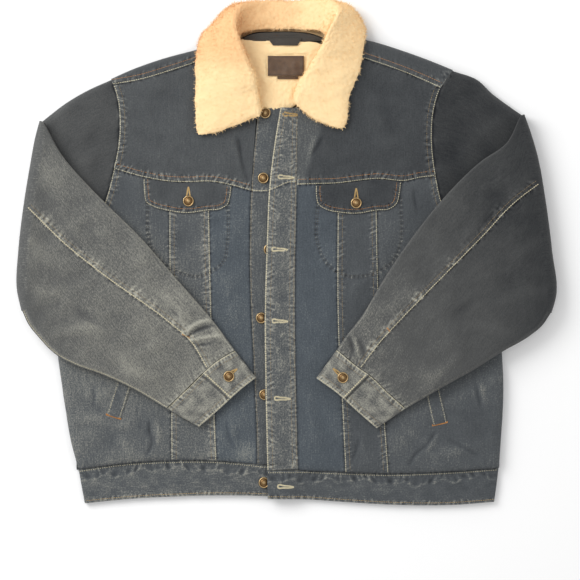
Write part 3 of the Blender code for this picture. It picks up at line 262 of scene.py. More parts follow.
def denim(name, *colours):
    """A denim in a dark, a middle and a pale colour."""
    paint = Paint(name)
    cloth = paint.node("ShaderNodeUVMap", {"uv_map": "cloth"})
    weft, warp = paint.split(cloth)

    def flecks(width, length, detail, roughness):
        return paint.noise(
            paint.node("ShaderNodeMapping", {"vector_type": "POINT"}, {
                "Vector": cloth, "Scale": (1.0 / width, 1.0 / length, 1.0)}),
            1.0, detail, roughness)

    streaks, slubs, salt, specks, clouds = (
        flecks(*kind) for kind in (STREAKS, SLUBS, SALT, SPECKS, CLOUDS))
    ribs = ((weft + warp * 0.62) * (math.tau / TWILL_PITCH)).sine()
    fade_and_shade = paint.attribute("fade_and_shade")
    grain = 0.62 * (salt - 0.5) + 0.20 * (specks - 0.5) + 0.26 * (streaks - 0.5)
    tone = fade_and_shade + grain * (0.26 + 1.7 * fade_and_shade) + 0.16 * (slubs - 0.5)
    tone = tone + 0.07 * (clouds - 0.5) + 0.022 * ribs
    raised = ribs * 0.25 + specks * 0.8 + salt * 1.2 + slubs * 0.8 + streaks * 0.6
    paint.set(
        Base_Color=paint.ramp(tone, *zip(EVEN_STOPS, colours)),
        Normal=paint.bump(raised, 0.00055, 0.6), Roughness=0.86 + 0.1 * (specks - 0.5),
        Specular_IOR_Level=0.25, Sheen_Weight=0.10, Sheen_Roughness=0.6)
    return paint.material


DENIM = {
    part: denim(f"denim_{part}", *colours) for part, *colours in (
        ("front", (0.008, 0.012, 0.019), (0.076, 0.091, 0.105), (0.40, 0.40, 0.34)),
        ("side", (0.008, 0.011, 0.016), (0.079, 0.087, 0.093), (0.40, 0.39, 0.33)),
        ("yoke", (0.008, 0.010, 0.014), (0.078, 0.084, 0.087), (0.37, 0.365, 0.31)),
        ("sleeve", (0.009, 0.011, 0.014), (0.091, 0.093, 0.091), (0.41, 0.40, 0.335)))}
print("denim materials", list(DENIM))

# %% [markdown]
# ## The other finishes
# Sherpa is a knitted pile in small curls, matt and warm, with paler tips and painted shade between its
# knots and curls. Thread is a tight twist with a soft gloss. The copper buttons are polished on their
# rims and dark in their hollows. Tape is a herringbone weave, and the label is dull pressed leather.

# %% Sherpa, thread, copper, tape and leather
TAPE_ZIGZAG = 0.003
TAPE_RIB = 0.0012


def sherpa(name, *colours):
    """A pile in a deep, a warm and a tip colour. The deep colour is painted shade."""
    paint = Paint(name)
    place = paint.place()
    curls = paint.cells(place, 260.0, "SMOOTH_F1", Smoothness=0.8)
    patches = paint.noise(place, 34.0, 4.0, 0.6)
    hairs = paint.noise(place, 900.0, 3.0, 0.7)
    # the tone falls between the curls: painted shade between them
    tone = paint.attribute("pile") + 0.2 * (patches - 0.5) - 0.10 * curls + 0.2 * (hairs - 0.5)
    paint.set(
        Base_Color=paint.ramp(tone, *zip(EVEN_STOPS, colours)),
        Normal=paint.bump(hairs - 0.6 * curls, 0.0009, 0.38), Roughness=0.9 + 0.1 * hairs,
        Specular_IOR_Level=0.1, Sheen_Weight=0.25, Sheen_Roughness=0.5,
        Sheen_Tint=(1.0, 0.9, 0.7, 1.0))
    return paint.material


def thread(name, dark, pale):
    paint = Paint(name)
    place = paint.place()
    fray = paint.noise(place, 700.0, 2.0, 0.6)
    patches = paint.noise(place, 25.0, 3.0, 0.6)
    paint.set(
        Base_Color=paint.ramp(0.4 * fray + 0.6 * patches, (0.25, dark), (0.8, pale)),
        Roughness=0.55 + 0.2 * fray, Specular_IOR_Level=0.35)
    return paint.material


def copper(name, *colours):
    """A metal in a tarnished, a plain and a polished colour."""
    paint = Paint(name)
    tarnish = paint.noise(paint.place(), 260.0, 4.0, 0.65)
    worn = paint.attribute("worn")
    tone = 0.75 * worn + 0.5 * (tarnish - 0.35)
    paint.set(
        Base_Color=paint.ramp(tone, *zip((0.0, 0.45, 1.0), colours)),
        Normal=paint.bump(tarnish, 0.0001, 0.4), Metallic=1.0, Roughness=0.52 - 0.22 * worn)
    return paint.material


def tape(name, dark, pale):
    paint = Paint(name)
    along, across = paint.split(paint.place())
    zigzag = along.maths("PINGPONG", along, TAPE_ZIGZAG)
    ribs = ((across + zigzag) * (math.tau / TAPE_RIB)).sine() * 0.5 + 0.5
    paint.set(
        Base_Color=paint.ramp(ribs, (0.0, dark), (1.0, pale)),
        Normal=paint.bump(ribs, 0.0002, 0.5), Roughness=0.8 - 0.1 * ribs)
    return paint.material


def leather(name, dark, pale):
    paint = Paint(name)
    place = paint.place()
    grains = paint.cells(place, 900.0, "DISTANCE_TO_EDGE")
    patches = paint.noise(place, 90.0, 4.0, 0.6)
    paint.set(
        Base_Color=paint.ramp(patches + 0.15 * grains, (0.2, dark), (0.85, pale)),
        Normal=paint.bump(grains.at_most(0.2), 0.0004, 0.4), Roughness=0.62 - 0.15 * patches)
    return paint.material


SHERPA = sherpa("sherpa_cream", (0.80, 0.49, 0.245), (0.92, 0.66, 0.36), (0.945, 0.718, 0.408))
THREADS = {
    colour: thread(f"thread_{colour}", dark, pale) for colour, dark, pale in (
        ("cream", (0.42, 0.37, 0.24), (0.78, 0.71, 0.50)),
        ("gold", (0.32, 0.20, 0.07), (0.66, 0.46, 0.19)),
        ("tan", (0.16, 0.11, 0.05), (0.36, 0.26, 0.13)),
        ("rust", (0.34, 0.13, 0.03), (0.66, 0.32, 0.10)),
        ("dark", (0.02, 0.02, 0.02), (0.10, 0.09, 0.08)))}
COPPER = copper("copper_aged", (0.045, 0.026, 0.013), (0.21, 0.125, 0.055), (0.74, 0.54, 0.28))
TAPE = tape("tape_dark", (0.012, 0.011, 0.010), (0.070, 0.060, 0.048))
TAPE_BROWN = tape("tape_brown", (0.042, 0.021, 0.010), (0.125, 0.072, 0.038))
LEATHER = leather("leather_brown", (0.050, 0.025, 0.012), (0.140, 0.080, 0.042))
print("materials", len(bpy.data.materials))

# %% [markdown]
# ## The pattern
# Seams and edges are smooth lines in plan. A few points carry each line, and a Hermite curve joins
# them. A line can be read at a share of its length, at a height or at a width, and it can tell how
# far points lie from it, on which side, and how far along. Right and left are the wearer's, and
# the wearer's right is at -X.

# %% A line of the pattern
def run_of(steps):
    """How far along each point of a path lies, from the lengths of its steps."""
    return np.concatenate([[0.0], np.cumsum(steps)])


def left_of(way):
    """A direction, or rows of them, turned a quarter to the left."""
    return np.stack([-way[..., 1], way[..., 0]], axis=-1)


class Line:
    """A smooth line through a few points."""

    STEPS = 10

    def __init__(self, points):
        knots = np.array(points, float)
        spans = norm(np.diff(knots, axis=0), axis=1)
        weight = spans[:, None]
        chords = np.diff(knots, axis=0) / weight
        slopes = np.empty_like(knots)
        slopes[0], slopes[-1] = chords[0], chords[-1]
        slopes[1:-1] = (
            (chords[:-1] * weight[1:] + chords[1:] * weight[:-1]) / (weight[1:] + weight[:-1]))
        t = np.arange(self.STEPS)[:, None] / self.STEPS
        pieces = [
            knots[k] * (2 * t ** 3 - 3 * t ** 2 + 1)
            + slopes[k] * span * (t ** 3 - 2 * t ** 2 + t)
            + knots[k + 1] * (3 * t ** 2 - 2 * t ** 3)
            + slopes[k + 1] * span * (t ** 3 - t ** 2) for k, span in enumerate(spans)]
        self.follow(np.vstack(pieces + [knots[-1:]]))

    def follow(self, points):
        """Takes these points, and measures how far along each one lies."""
        self.points = points
        self.run = run_of(norm(np.diff(points, axis=0), axis=1))
        self.length = self.run[-1]

    def at(self, share):
        want = np.clip(share, 0.0, 1.0) * self.length
        return np.stack([np.interp(want, self.run, self.points[:, k]) for k in (0, 1)], axis=-1)

    def read(self, value, axis):
        """The other coordinate, where the line has this value on an axis."""
        order = slice(None, None, 1 if self.points[-1, axis] > self.points[0, axis] else -1)
        return np.interp(value, self.points[order, axis], self.points[order, 1 - axis])

    def y(self, x):
        return self.read(x, 0)

    def x(self, y):
        return self.read(y, 1)

    def near(self, places):
        """Distance, + on the line's left; how far along; and how far past an end."""
        best = np.full(len(places), 1e9)
        side, along, past = (np.zeros(len(places)) for _ in range(3))
        last = len(self.points) - 2
        for k in range(last + 1):
            a = self.points[k]
            step = self.points[k + 1] - a
            size = np.hypot(*step)
            if size < 1e-6:
                continue
            rel = places - a
            t = rel @ step / size ** 2
            held = np.clip(t, 0.0, 1.0)
            gap = np.hypot(*(rel - held[:, None] * step).T)
            closer = gap < best
            best = np.where(closer, gap, best)
            turn = step[0] * rel[:, 1] - step[1] * rel[:, 0]
            side = np.where(closer, np.where(turn >= 0, 1.0, -1.0), side)
            along = np.where(closer, self.run[k] + held * size, along)
            beyond = -t * size if k == 0 else (t - 1.0) * size if k == last else 0.0 * t
            past = np.where(closer, np.maximum(beyond, 0.0), past)
        return best * side, along, past

    def moved(self, offset):
        """The same line, moved to its left by offset."""
        step = np.gradient(self.points, axis=0)
        step /= norm(step, axis=1)[:, None]
        made = Line(self.points[::self.STEPS])
        made.follow(self.points + left_of(step) * offset)
        return made


def ease(t):
    t = np.clip(t, 0.0, 1.0)
    return t * t * (3.0 - 2.0 * t)


def rounding(gap, size):
    """How far a round edge has fallen away at a gap from it: 1 at the edge, 0 from size on."""
    share = np.clip(gap / size, 0.0, 1.0)
    return 1.0 - np.sqrt(np.clip(1.0 - (1.0 - share) ** 2, 0.0, 1.0))


def crossing(down, across, y):
    """Where a line down the body meets a line across it."""
    for _ in range(12):
        x = float(down.x(y))
        y = float(across.y(x))
    return np.array([x, y])


# %% The body's lines
ARMHOLE_R = Line([
    (-272, 267), (-262, 235), (-259, 200), (-261, 165), (-268, 129), (-276, 95),
    (-289, 58), (-305, 21), (-324, -17), (-350, -60)])
ARMHOLE_L = Line([
    (258, 281), (240, 255), (229, 220), (226, 175), (230, 130), (239, 84),
    (253, 43), (270, 7), (292, -24), (322, -58)])
SIDE_R = Line([(-350, -60), (-356, -110), (-355, -164), (-347, -219), (-336, -290), (-324, -337)])
SIDE_L = Line([(322, -58), (331, -106), (335, -160), (337, -224), (334, -280), (330, -337)])
EDGE_R = Line([*ARMHOLE_R.points[::6], *SIDE_R.points[6::7]])
EDGE_L = Line([*ARMHOLE_L.points[::6], *SIDE_L.points[6::7]])
V1_R = Line([(-182, 190), (-182, 109), (-182, -29), (-180, -150), (-179, -330)])
V2_R = Line([(-120, 190), (-120, 109), (-117, -60), (-112, -230), (-108, -330)])
C_R = Line([(-43, 226), (-49, 170), (-55, 94), (-57, -29), (-51, -180), (-46, -298), (-46, -392)])
STAND_EDGE = Line([(-4, 224), (-9, 94), (-12, -100), (-9, -230), (-5, -392)])
PLACKET_EDGE = Line([
    (-9, 226), (-17, 180), (-27, 100), (-31, 12), (-34, -98), (-33, -208), (-31, -300), (-29, -392)])
C_L = Line([(18, 226), (16, 103), (13, -89), (15, -215), (18, -339), (20, -392)])
V1_L = Line([(79, 190), (79, 105), (80, -137), (85, -224), (91, -346)])
V2_L = Line([(140, 190), (140, 112), (143, -55), (151, -230), (159, -346)])
BAND_SIDE_R = Line([(-324, -337), (-319, -363), (-314, -391)])
BAND_SIDE_L = Line([(330, -337), (328, -364), (323, -390)])

RIDGE_R = Line([(-276, 267), (-240, 283), (-198, 298), (-139, 314), (-100, 324)])
RIDGE_L = Line([(82, 334), (123, 329), (181, 312), (225, 296), (262, 281)])
SHOULDER_R = Line([(-276, 257), (-222, 267), (-182, 279), (-142, 292), (-102, 306)])
SHOULDER_L = Line([(84, 309), (123, 298), (181, 278), (244, 251)])
NECK_R = Line([(-102, 306), (-101, 284), (-90, 260), (-71, 238), (-46, 219)])
NECK_L = Line([(18, 222), (49, 238), (69, 260), (80, 288), (84, 309)])
NECK_BACK = Line([
    (-100, 315), (-84, 322), (-70, 331), (-55, 338), (-20, 341), (15, 341), (42, 337),
    (60, 330), (72, 324), (82, 324)])
YOKE_R = Line([
    (-276, 131), (-245, 121), (-218, 114), (-182, 108), (-150, 107), (-120, 108), (-85, 102),
    (-53, 94), (-30, 92)])
YOKE_L = Line([
    (10, 103), (48, 104), (79, 105), (110, 109), (140, 112), (185, 109), (208, 114), (240, 117)])
YOKE_JOIN = Line([(-62, 96), (-45, 93), (-29, 94), (-14, 99), (2, 106), (22, 108)])
YOKE_BACK = Line([(-276, 168), (-150, 160), (-10, 157), (130, 160), (240, 166)])
WAIST_R = Line([(-330, -340), (-252, -329), (-179, -325), (-108, -325), (-46, -331), (0, -336)])
WAIST_L = Line([(-40, -340), (18, -340), (91, -343), (159, -345), (247, -342), (334, -336)])
WAIST_BACK = Line([(-330, -340), (-179, -328), (-30, -336), (159, -345), (334, -336)])
HEM_R = Line([(-318, -392), (-249, -385), (-177, -381), (-103, -379), (-44, -380), (0, -382)])
HEM_L = Line([(-32, -384), (26, -385), (84, -389), (174, -394), (257, -394), (326, -389)])
HEM_BACK = Line([(-318, -390), (-177, -380), (-30, -380), (84, -387), (174, -391), (326, -387)])

# The stitched outline of each chest pocket's bag, below its flap
POCKET_R = Line([
    (-217, 84), (-216, 21), (-211, 0), (-199, -16), (-171, -33), (-137, -41), (-114, -33),
    (-95, -15), (-90, 7), (-89, 84)])
POCKET_L = Line([
    (47, 84), (47, 9), (55, -11), (76, -33), (100, -41), (140, -35), (167, -17), (177, 3), (179, 84)])
print("shoulder to shoulder", round(float(ARMHOLE_L.x(200) - ARMHOLE_R.x(200))), "mm,",
      "hem", round(HEM_BACK.length), "mm")

# %% The sleeves' lines
FOLD_R = Line([(-383, 202), (-389, 180), (-398, 132), (-408, 70), (-416, 0), (-418, -60), (-411, -92)])
FOLD_L = Line([(369, 212), (377, 190), (389, 150), (402, 78), (412, 0), (418, -70), (411, -95)])
OUT_R = np.array([-0.993, 0.117])
OUT_L = np.array([0.986, 0.167])
TURN = 9.8               # radius of the fold at the elbow
TURN_END = 0.25          # share of it at the fold's two ends
ARM_HALF = (9.4, 8.3)    # half thickness at the armhole and at the fold
FORE_LOW = 19.7          # underside of the forearms
FORE_END = 4.2           # half thickness at the cuff


def sleeve_lines(armhole, fold, out, arm_upper, arm_lower, fore_upper, fore_lower, cuff_seam,
                 cuff_mouth, seam):
    first = tuple(fold.at(0.0) - out * TURN * TURN_END)
    last = tuple(fold.at(1.0) - out * TURN * TURN_END)
    return {
        "armhole": armhole, "fold": fold, "out": out,
        "arm_upper": Line([*arm_upper, first]), "arm_lower": Line([*arm_lower, last]),
        "fore_upper": Line([first, *fore_upper]), "fore_lower": Line([last, *fore_lower]),
        "cuff_seam": Line(cuff_seam), "cuff_mouth": Line(cuff_mouth), "seam": Line(seam),
    }


SLEEVES = {
    "R": sleeve_lines(
        ARMHOLE_R, FOLD_R, OUT_R,
        [(-272, 267), (-306, 252), (-341, 232)], [(-350, -60), (-380, -68)],
        [(-352, 152), (-316, 110), (-276, 70), (-228, 23), (-169, -44), (-114, -107), (-80, -153)],
        [(-399, -113), (-384, -132), (-356, -160), (-328, -175), (-284, -191), (-240, -211),
         (-186, -243)],
        [(-80, -153), (-110, -171), (-124, -183), (-156, -214), (-186, -243)],
        [(-47, -195), (-70, -213), (-104, -244), (-136, -272)],
        [(-400, 67), (-337, 6), (-284, -36), (-177, -114), (-150, -138), (-124, -180)]),
    "L": sleeve_lines(
        ARMHOLE_L, FOLD_L, OUT_L,
        [(258, 281), (298, 266), (318, 247), (346, 226)], [(322, -58), (370, -72)],
        [(346, 172), (300, 138), (240, 78), (199, 27), (147, -49), (118, -98), (91, -133), (78, -152)],
        [(395, -115), (377, -130), (334, -155), (290, -183), (247, -207), (185, -243)],
        [(78, -152), (114, -181), (130, -192), (158, -219), (185, -243)],
        [(46, -196), (78, -219), (110, -248), (140, -274)],
        [(390, 103), (359, 80), (300, 19), (219, -63), (164, -120), (146, -140), (116, -180)]),
}
for part in SLEEVES.values():
    part["outline"] = np.vstack([
        part["fore_upper"].points[::3], part["cuff_mouth"].points[::5],
        part["fore_lower"].points[::-3]])
print("sleeve outlines", [len(part["outline"]) for part in SLEEVES.values()], "points")

# %% [markdown]
# ## How high the cloth lies
# Laid flat, the jacket is a stack: the back, the fronts on it, and the folded sleeves on those. Each
# layer of denim and sherpa is about 9 mm thick. The fronts sink to the thin waistband, round off at
# the side, dip a little at the button stand and rise over the collar's leaf at the neck.

# %% Heights
BACK_TOP = 9.1
FRONT_LOW = 9.9
FRONT_TOP = 19.0
BAND_BACK_TOP = 4.6
BAND_LOW = 5.2
BAND_TOP = 9.8
STAND_TOP = 16.0
STAND_WALL = 4.0
PLACKET_WALL = 3.4
LAP = 4.7
BLOUSE = 16.0            # how far above the waist the cloth falls away to it
PRESSED = 1.8            # how far a sleeve presses the fronts down
NECK_LIFT = 9.0          # how far the collar's leaf under the fronts lifts them
WAIST_SINK = 7.6
SIDE_SINK, SIDE_ROUND = 7.7, 14.0
STAND_DIP = 2.0
UNDERARM = -60           # where the sleeve ends and the side seam starts


def inside(outline, places):
    hit = np.zeros(len(places), bool)
    ahead = np.roll(outline, -1, axis=0)
    for a, b in zip(outline, ahead):
        if a[1] == b[1]:
            continue
        spans = (a[1] > places[:, 1]) != (b[1] > places[:, 1])
        cross = a[0] + (places[:, 1] - a[1]) / (b[1] - a[1]) * (b[0] - a[0])
        hit ^= spans & (cross > places[:, 0])
    return hit


def under_sleeve(places):
    """1 under a forearm, fading to 0 beside it."""
    cover = np.zeros(len(places))
    for part in SLEEVES.values():
        outline = part["outline"]
        gap = np.full(len(places), 1e9)
        for q in outline:
            gap = np.minimum(gap, np.hypot(*(places - q).T))
        beside = 1.0 - ease((gap - 9.0) / 24.0)
        cover = np.maximum(cover, np.where(inside(outline, places), 1.0, beside))
    return cover


def lift_at_neck(places):
    x, y = places.T
    across = np.where(x < 0, 1.0 - ease((-104 - x) / 46.0), 1.0 - ease((x - 92) / 46.0))
    return NECK_LIFT * ease((y - 215.0) / 57.0) * across


def above_waist(places):
    x, y = places.T
    return y - np.where(x < -30, WAIST_R.y(x), WAIST_L.y(x))


def side_gap(places):
    return np.minimum(np.abs(SIDE_R.near(places)[0]), np.abs(SIDE_L.near(places)[0]))


def front_top(places):
    x, y = places.T
    z = FRONT_TOP + lift_at_neck(places) - PRESSED * under_sleeve(places)
    z -= np.where((x > -100) & (x < 0), STAND_DIP * ease((x + 95) / 45.0), 0.0)
    sink = rounding(above_waist(places), BLOUSE)
    z -= WAIST_SINK * sink
    z -= np.where(y < UNDERARM, SIDE_SINK * rounding(side_gap(places), SIDE_ROUND), 0.0)
    return np.maximum(z, FRONT_LOW + lift_at_neck(places) + 1.5 - 4.6 * sink)


def front_low(places):
    lift = lift_at_neck(places)
    sink = 1.0 - ease(above_waist(places) / (BLOUSE * 0.5))
    return FRONT_LOW + lift + 1.4 * ease(lift / 1.6) - (FRONT_LOW - BAND_LOW) * sink


def stand_top(places):
    return STAND_TOP - 5.0 * rounding(places[:, 1] + 331, BLOUSE)


def placket_low(places):
    y = places[:, 1]
    left, right = PLACKET_EDGE.x(y), C_L.x(y)
    share = np.clip((places[:, 0] - left) / (right - left), 0.0, 1.0)
    flush = front_top(np.stack([right, y], axis=1)) - PLACKET_WALL
    bend = ease((share - 0.25) / 0.75)
    return (stand_top(places) + LAP) * (1 - bend) + flush * bend


def lap_rise(places):
    return 9.5 * (1.0 - ease((places[:, 0] + 4.0) / 42.0))


def band_edge(places, size):
    gap = np.minimum(
        np.abs(BAND_SIDE_R.near(places)[0]), np.abs(BAND_SIDE_L.near(places)[0]))
    return 3.4 * rounding(gap, size)


# %% [markdown]
# ## Soft form: crumples and creases
# Two kinds of form lie on every panel. Crumples are a smooth random field, the sum of a few
# dozen plane waves, so they are quick on whole arrays of points and the same on every run.
# Creases are placed one by one: each is a soft ridge or trough between two places, with its own height
# and width, strongest in its middle.

# %% Crumples and creases
def crumple(places, seed, wave, height, count=18):
    """A smooth random field: waves of about one length, in all directions."""
    rng = np.random.default_rng(seed)
    total = np.zeros(len(places))
    for _ in range(count):
        turn = rng.uniform(0, math.pi)
        length = wave * rng.uniform(0.55, 1.9)
        phase = rng.uniform(0, 2 * math.pi)
        path = places @ np.array([math.cos(turn), math.sin(turn)])
        total += np.sin(path * 2 * math.pi / length + phase) * (length / wave) ** 0.7
    return total * height / math.sqrt(count / 2)


def folds(places, seed, wave, height, sharp=0.30):
    """Thin uneven ridges where a random field crosses zero, patchy like worn-in creases."""
    field = crumple(places, seed, wave, 1.0)
    patch = ease(crumple(places, seed + 1, wave * 1.7, 0.6) + 0.25)
    return height * np.exp(-(field / sharp) ** 2) * patch


def creases(places, table):
    """Height of the creases of a table at places, and how sharply they colour the cloth: paler on ridges,
    partly rubbing and partly painted light, and darker in troughs as painted shade.
    """
    total, rubbed_lit_and_shaded = np.zeros(len(places)), np.zeros(len(places))
    for x0, y0, x1, y1, height, width in table:
        a = np.array([x0, y0], float)
        step = np.array([x1, y1], float) - a
        size = math.hypot(*step)
        t = (places - a) @ step / (step @ step)
        held = np.clip(t, 0.0, 1.0)
        bow = 0.10 * size * math.sin(x0 + y1)
        spine = a + held[:, None] * step + (4 * held * (1 - held) * bow)[:, None] * (left_of(step) / size)
        gap = np.hypot(*(places - spine).T)
        rise = np.sin(np.clip(0.08 + 0.92 * held, 0, 1) * math.pi) ** 0.6
        form = height * np.exp(-(gap / width) ** 2) * rise
        total += form
        rubbed_lit_and_shaded += form * min(1.0, 3.6 / width)
    return total, rubbed_lit_and_shaded


CREASES_BODY = [
    # x0, y0, x1, y1, height, width
    (-330, -190, -200, -225, 2.4, 11), (-335, -262, -215, -285, 2.0, 9),
    (-325, -225, -245, -262, -1.2, 7), (-240, -20, -195, -90, 2.2, 11), (-165, -90, -150, -250, 1.6, 9),
    (-150, -180, -130, -300, -1.0, 6), (-95, -40, -80, -150, 1.4, 9), (-95, -235, -75, -310, 1.6, 8),
    (-235, 165, -140, 140, 1.4, 12), (-250, 205, -170, 185, 1.0, 9), (-240, 230, -150, 235, -0.9, 8),
    (40, -150, 50, -300, 1.8, 9), (65, -40, 60, -170, -0.9, 6), (105, -60, 112, -130, 1.4, 9),
    (110, -270, 125, -330, 1.8, 8), (185, -80, 225, -20, 2.0, 11), (180, -260, 320, -205, 2.4, 10),
    (190, -318, 325, -285, 2.0, 9), (230, -240, 325, -250, -1.1, 7), (100, 150, 195, 165, 1.2, 12),
    (120, 235, 200, 215, 1.1, 10), (60, 130, 100, 145, -0.8, 7), (-303, -205, -301, -242, -1.8, 3),
    (-213, -262, -208, -292, -2.8, 2.2), (-208, -290, -220, -318, -2.4, 2.2),
    (-202, -262, -199, -300, 1.8, 4), (-262, -285, -240, -322, 1.5, 6),
    (-92, -262, -84, -300, -1.8, 2.5), (292, -200, 302, -248, -2.4, 2.5),
    (300, -196, 311, -240, 1.6, 4), (233, -272, 212, -306, -2.2, 2.4),
    (213, -304, 190, -334, -2.4, 2.4), (240, -276, 217, -312, 1.6, 4),
    (236, -240, 222, -262, -1.8, 2.6), (180, -268, 236, -306, 1.4, 6),
    (112, -290, 100, -325, -1.8, 2.5), (252, -292, 300, -318, -1.8, 2.6),
    (-228, 60, -222, 10, -1.8, 2.6), (198, 95, 214, 40, -1.8, 2.6), (-74, 182, -58, 105, -3.0, 3),
    (-92, 180, -70, 112, 1.2, 6), (58, 184, 38, 146, -2.4, 3), (46, 186, 30, 130, 1.4, 4),
    (-210, 232, -190, 160, -1.0, 7), (150, 240, 172, 170, -1.0, 7),
]
CREASES_ARM = [
    (-290, 215, -350, 120, 2.2, 12), (-285, 170, -330, 130, 1.8, 9), (-300, 235, -372, 205, 1.6, 9),
    (-278, 120, -300, 90, 1.2, 7), (282, 225, 335, 140, 2.2, 12), (262, 165, 315, 145, 1.8, 9),
    (300, 245, 360, 210, 1.6, 9), (245, 125, 262, 95, 1.2, 7),
]
CREASES_FORE = [
    (-385, 130, -340, 60, 2.4, 13), (-398, 20, -330, -30, 2.4, 12), (-395, -60, -320, -80, 2.4, 11),
    (-350, -130, -270, -120, 2.2, 10), (-300, 60, -240, -10, 1.6, 12), (-260, -160, -200, -200, 2.0, 9),
    (-215, -55, -150, -110, 1.8, 10), (-158, -127, -112, -104, 3.6, 3.2),
    (-154, -133, -106, -114, -3.6, 2.6), (-150, -139, -98, -130, 3.2, 3.2),
    (-120, -108, -92, -140, 2.0, 4), (-146, -143, -108, -138, -2.0, 2.6),
    (-166, -96, -152, -118, 2.4, 3), (-176, -92, -158, -110, -1.8, 2.6),
    (-92, -160, -68, -176, -1.6, 3), (-180, -60, -130, -98, -1.4, 5), (-330, -80, -270, -118, -1.4, 6),
    (-345, 40, -300, -2, -1.3, 6), (-66, -176, -62, -196, 1.0, 4), (385, 130, 340, 60, 2.4, 13),
    (400, 20, 335, -30, 2.4, 12), (398, -60, 325, -85, 2.4, 11), (345, -130, 270, -120, 2.2, 10),
    (300, 60, 245, -10, 1.6, 12), (265, -160, 205, -200, 2.0, 9), (215, -55, 150, -110, 1.8, 10),
    (101, -130, 110, -168, 2.6, 3.6), (94, -128, 102, -162, -2.2, 2.8),
    (112, -138, 121, -166, -1.8, 2.8), (176, -98, 150, -126, 1.8, 3.6), (330, 60, 290, 20, -1.4, 6),
    (300, -70, 250, -108, -1.4, 6), (134, -150, 122, -178, 1.3, 5),
]

# Where the cloth is paler (+) or darker (-) than the rest of its piece
TONE_SPOTS_BODY = [
    # x, y, radius, amount
    (-250, 95, 42, -0.17), (-195, 50, 32, -0.10), (-165, 20, 26, -0.07),
    (-63, -311, 17, 0.16), (-292, -292, 42, -0.06), (-211, -277, 36, -0.09),
    (198, 80, 38, -0.11), (284, -277, 48, -0.10), (160, -262, 22, -0.06), (253, 250, 40, -0.06),
    (-150, -235, 22, 0.05), (40, 60, 40, -0.04),
]
TONE_SPOTS_FORE = [
    (-392, 10, 36, 0.08), (-372, 120, 40, 0.06), (-174, -75, 26, 0.07),
    (331, 64, 46, -0.08), (123, -98, 26, 0.09), (176, -60, 26, 0.05),
]


def tone_spots(places, table):
    total = np.zeros(len(places))
    for x, y, radius, amount in table:
        total += amount * np.exp(-np.sum((places - (x, y)) ** 2, axis=1) / radius ** 2)
    return total


print("creases by hand", sum(map(len, (CREASES_BODY, CREASES_ARM, CREASES_FORE))))

# %% [markdown]
# ## Seams
# A flat-felled seam laps one folded edge over the other and runs two rows of stitches through it.
# It does four things to the cloth beside it: the lap stands proud, each row of stitches pulls a small
# groove, the shrinking thread draws puckers across the seam, and washing wears the proud puckers pale.
# The cloth at the foot of the lap is also painted darker, as painted shade where the lap's edge shades
# it. So one function gives both a height and a colour value for points near a seam.

# %% What a seam does to the cloth near it
def drift(along, seed, scale):
    """A slow uneven value along a line, between 0 and 1."""
    return 0.5 + 0.5 * np.sin(along / scale + seed) * np.sin(along / (0.43 * scale) + 2.3 * seed)


def puckers(along, away, seed, wave=6.0):
    """Ripples that run across a seam, between -1 and 1, with uneven widths and gaps."""
    s = along + away * 0.5 * np.sin(along / 27.0 + seed)
    total = 0.0
    for k, (share, weight) in enumerate(((0.73, 0.45), (1.0, 0.8), (1.41, 0.7), (2.3, 0.4))):
        bend = 1.5 * np.sin(s / (17.0 + 8.0 * k) + (k + 1.0) * seed)
        total = total + weight * np.sin(s * 2 * math.pi / (wave * share) + bend + 2.1 * k)
    return np.clip(total / 1.3 * (0.35 + 0.9 * drift(along, seed, 11.0)), -1.0, 1.0)


BEAD_PITCH = 7.8


